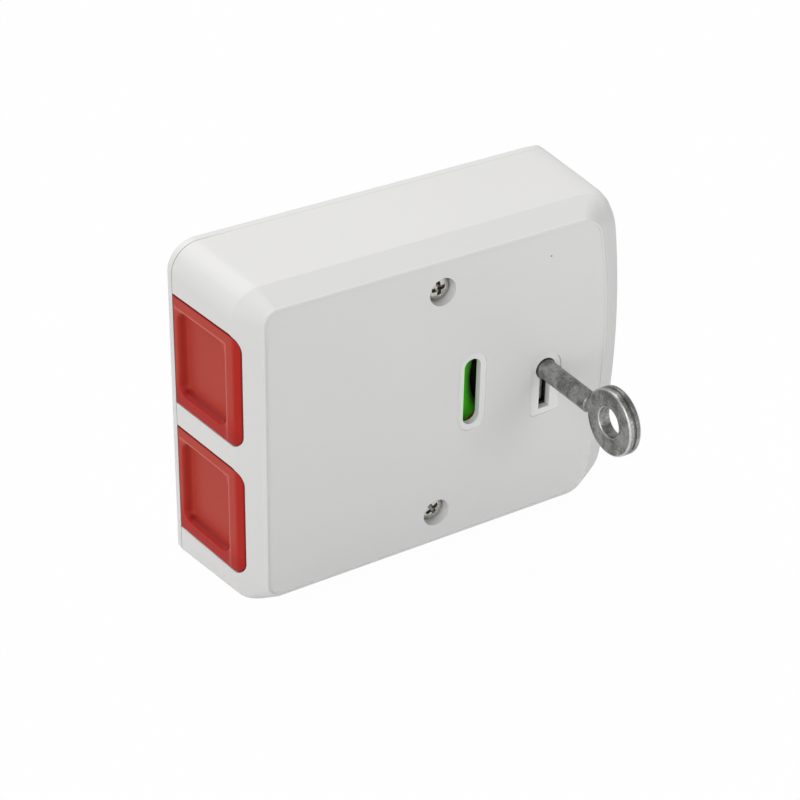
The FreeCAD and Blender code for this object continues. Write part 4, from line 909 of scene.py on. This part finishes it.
# %% Green and red flags
flag_orbit = 18.2 * mm
flag_radius = 4.0 * mm
flag_seat = 20.6 * mm
flag_reach = math.radians(28 - 0.2)
trip_turn = math.radians(56)


def flag_rings(middle):
    """Half circles carried along an arc about the lock's axis: orbit + r cos s outwards and seat +
    r sin s in depth, at angles on both sides of the middle one."""
    section = np.linspace(0, np.pi, 33)
    angle = middle + np.linspace(-flag_reach, flag_reach, 49)
    radius = flag_orbit + flag_radius * np.cos(section)
    depth = flag_seat + flag_radius * np.sin(section)
    x = lock_x + np.outer(np.cos(angle), radius)
    z = lock_z + np.outer(np.sin(angle), radius)
    return np.stack([x, np.broadcast_to(-depth, x.shape), z], axis=-1)


def flag_finish(name, bright, dark):
    """Glossy plastic with painted shade: it fades to a dark tone by a point attribute."""
    finish = Finish(name)
    flank = finish.node("ShaderNodeAttribute", {"attribute_name": "flank"}, output="Fac")
    texture = finish.noise(0.35 * mm, detail=2.0)
    return finish.surface(
        # Painted shade: the flag fades to its dark tone towards its inner side.
        Base_Color=finish.mix(flank, colour(*bright), colour(*dark)),
        Roughness=0.28 + 0.08 * texture,
        Specular_IOR_Level=0.25,
        Normal=finish.bump(texture, 0.004 * mm),
    )


plastics["flag_green"] = flag_finish("flag_green", (96, 232, 50), (6, 34, 6))
plastics["flag_red"] = flag_finish("flag_red", (220, 40, 30), (44, 6, 5))
for name, slot_name, turned_by in (("green_flag", "flag_green", 0.0), ("red_flag", "flag_red", trip_turn)):
    flag = solid(f"{name}_strip", [skin(flag_rings(math.pi + turned_by), "flat")])
    place = points_of(flag)
    # Painted shade, from 1.1 mm inside the orbit towards the flag's inner side.
    inwards = flag_orbit - np.hypot(place[:, 0] - lock_x, place[:, 2] - lock_z)
    mark(flag, flank=easing((inwards - 1.1 * mm) / (3.2 * mm)))
    flag.data.materials.append(plastics[slot_name])
    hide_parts(name)
    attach(flag, "trip_rotor")

# %% [markdown]
# ## What works inside
#
# The rotor, the barrel, the switches, the board and its screws have the right form already, so they
# stay as the CAD made them and only get a finish. The circuit board is the one that needs a pattern:
# green solder mask with lighter copper tracks under it.

# %% Circuit board
def board_green():
    """Solder mask over tracks: the tracks are bands of a coordinate, shown only where a noise makes patches."""
    finish = Finish("board_green")
    split = finish.node("ShaderNodeSeparateXYZ", None, {0: finish.place}, output="Z")
    waves = finish.maths("FRACT", split * (1 / (2.54 * mm)))
    track = finish.ease(waves, 0.32, 0.36) * (1 - finish.ease(waves, 0.64, 0.68))
    patch = finish.ease(finish.noise(5 * mm), 0.5, 0.52)
    return finish.surface(
        Base_Color=finish.mix(track * patch, colour(22, 84, 52), colour(52, 128, 74)),
        Roughness=0.35 + 0.1 * finish.noise(0.4 * mm),
        Normal=finish.bump(track * patch, 0.03 * mm),
    )


plastics["board_green"] = board_green()

# %% Finishes of the CAD nodes
finishes = {**plastics, **metals}
kept = {
    "circuit_board": "board_green",
    "board_screws": "screw_steel",
    "terminal_block": "terminal_green",
    "terminal_screws": "screw_steel",
    "tamper_switch": "switch_black",
    "tamper_plunger": "plunger_red",
    "upper_microswitch": "switch_black",
    "lower_microswitch": "switch_black",
    "upper_switch_plunger": "plunger_red",
    "lower_switch_plunger": "plunger_red",
    "trip_rotor": "rotor_black",
    "key_barrel": "barrel_black",
}
for name, slot_name in kept.items():
    for place in nodes[name].material_slots:
        place.material = finishes[slot_name]
print("CAD nodes kept:", len(kept))

# %% [markdown]
# ## Floor and light
#
# The photograph is a cut-out on white. The floor is a plain white plane that camera rays see nearly as light itself,
# while a small part of it stays a lit surface that keeps the object's soft shadow. The light is even: the world lights
# every side, and two wide suns, from the front left and from high behind, with a small softbox at the front right,
# make the top a little brighter than the panel and the panel brighter than the right end.

# %% A white floor
def white_floor():
    """Mix of a lit white surface and a glow of strength 1, which only direct and mirrored views see."""
    finish = Finish("floor_white")
    seen = sum((finish.node("ShaderNodeLightPath", output=ray) for ray in ("Is Glossy Ray", "Is Transmission Ray")),
               finish.node("ShaderNodeLightPath", output="Is Camera Ray"))
    lit = finish.node("ShaderNodeBsdfDiffuse", None, {"Color": colour(206, 206, 206)})
    glow = finish.node("ShaderNodeEmission", None, {"Color": (1, 1, 1, 1), "Strength": 1.0})
    finish.node_output(finish.node("ShaderNodeMixShader", None, {0: 0.98 * seen, 1: lit, 2: glow}))
    return finish.material


floor_half = 3.0
floor_z = cad_box[0].z
corners = floor_half * np.array([(-1, -1), (1, -1), (1, 1), (-1, 1)])
floor_mesh = bpy.data.meshes.new("floor")
floor_mesh.from_pydata(np.column_stack([corners, np.full(4, floor_z)]).tolist(), [], [(0, 1, 2, 3)])
floor_mesh.materials.append(white_floor())
floor = bpy.data.objects.new("floor", floor_mesh)
bpy.context.scene.collection.objects.link(floor)
print("floor at", round(floor_z / mm, 2), "mm")

# %% World and lamps
ambient = 0.51
world = bpy.data.worlds.new("studio")
bpy.context.scene.world = world
world.use_nodes = True
sky = world.node_tree
sky.nodes.clear()
path = sky.nodes.new("ShaderNodeLightPath")
seen = sky.nodes.new("ShaderNodeMath")
seen.operation = "MAXIMUM"
sky.links.new(path.outputs["Is Camera Ray"], seen.inputs[0])
sky.links.new(path.outputs["Is Transmission Ray"], seen.inputs[1])
level_of = sky.nodes.new("ShaderNodeMapRange")
level_of.inputs["To Min"].default_value = ambient
level_of.inputs["To Max"].default_value = 1.0
sky.links.new(seen.outputs[0], level_of.inputs["Value"])
background = sky.nodes.new("ShaderNodeBackground")
sky.links.new(level_of.outputs[0], background.inputs["Strength"])
output = sky.nodes.new("ShaderNodeOutputWorld")
sky.links.new(background.outputs[0], output.inputs["Surface"])



def lamp_at(name, kind, energy, place, tint):
    """A lamp that looks from its place towards the origin."""
    lamp = bpy.data.lights.new(name, kind)
    lamp.energy = energy
    lamp.color = tint
    lamp_back = np.array(place) / np.linalg.norm(place)
    lamp_side = np.cross((0, 0, 1), lamp_back)
    lamp_side /= np.linalg.norm(lamp_side)
    lamp_turn = np.eye(4)
    lamp_turn[:3, :3] = np.stack([lamp_side, np.cross(lamp_back, lamp_side), lamp_back], axis=1)
    lamp_turn[:3, 3] = place
    lamp_object = bpy.data.objects.new(name, lamp)
    lamp_object.matrix_world = Matrix(lamp_turn.tolist())
    bpy.context.scene.collection.objects.link(lamp_object)
    return lamp


window = lamp_at("left_window", "SUN", 0.47 * math.pi, (-0.80, -0.50, 0.33), (1.0, 1.0, 1.0))
high_back = lamp_at("high_back", "SUN", 0.64 * math.pi, (0.0, 0.72, 0.69), (1.0, 0.985, 0.96))
window.angle = high_back.angle = math.radians(60)
softbox = lamp_at("near_softbox", "AREA", 0.135, (0.11, -0.28, 0.08), (1.0, 1.0, 1.0))
softbox.size = 0.12
bpy.context.scene.view_settings.view_transform = "Standard"
print("ambient", ambient, "and lamps:", [lamp.name for lamp in bpy.data.lights])
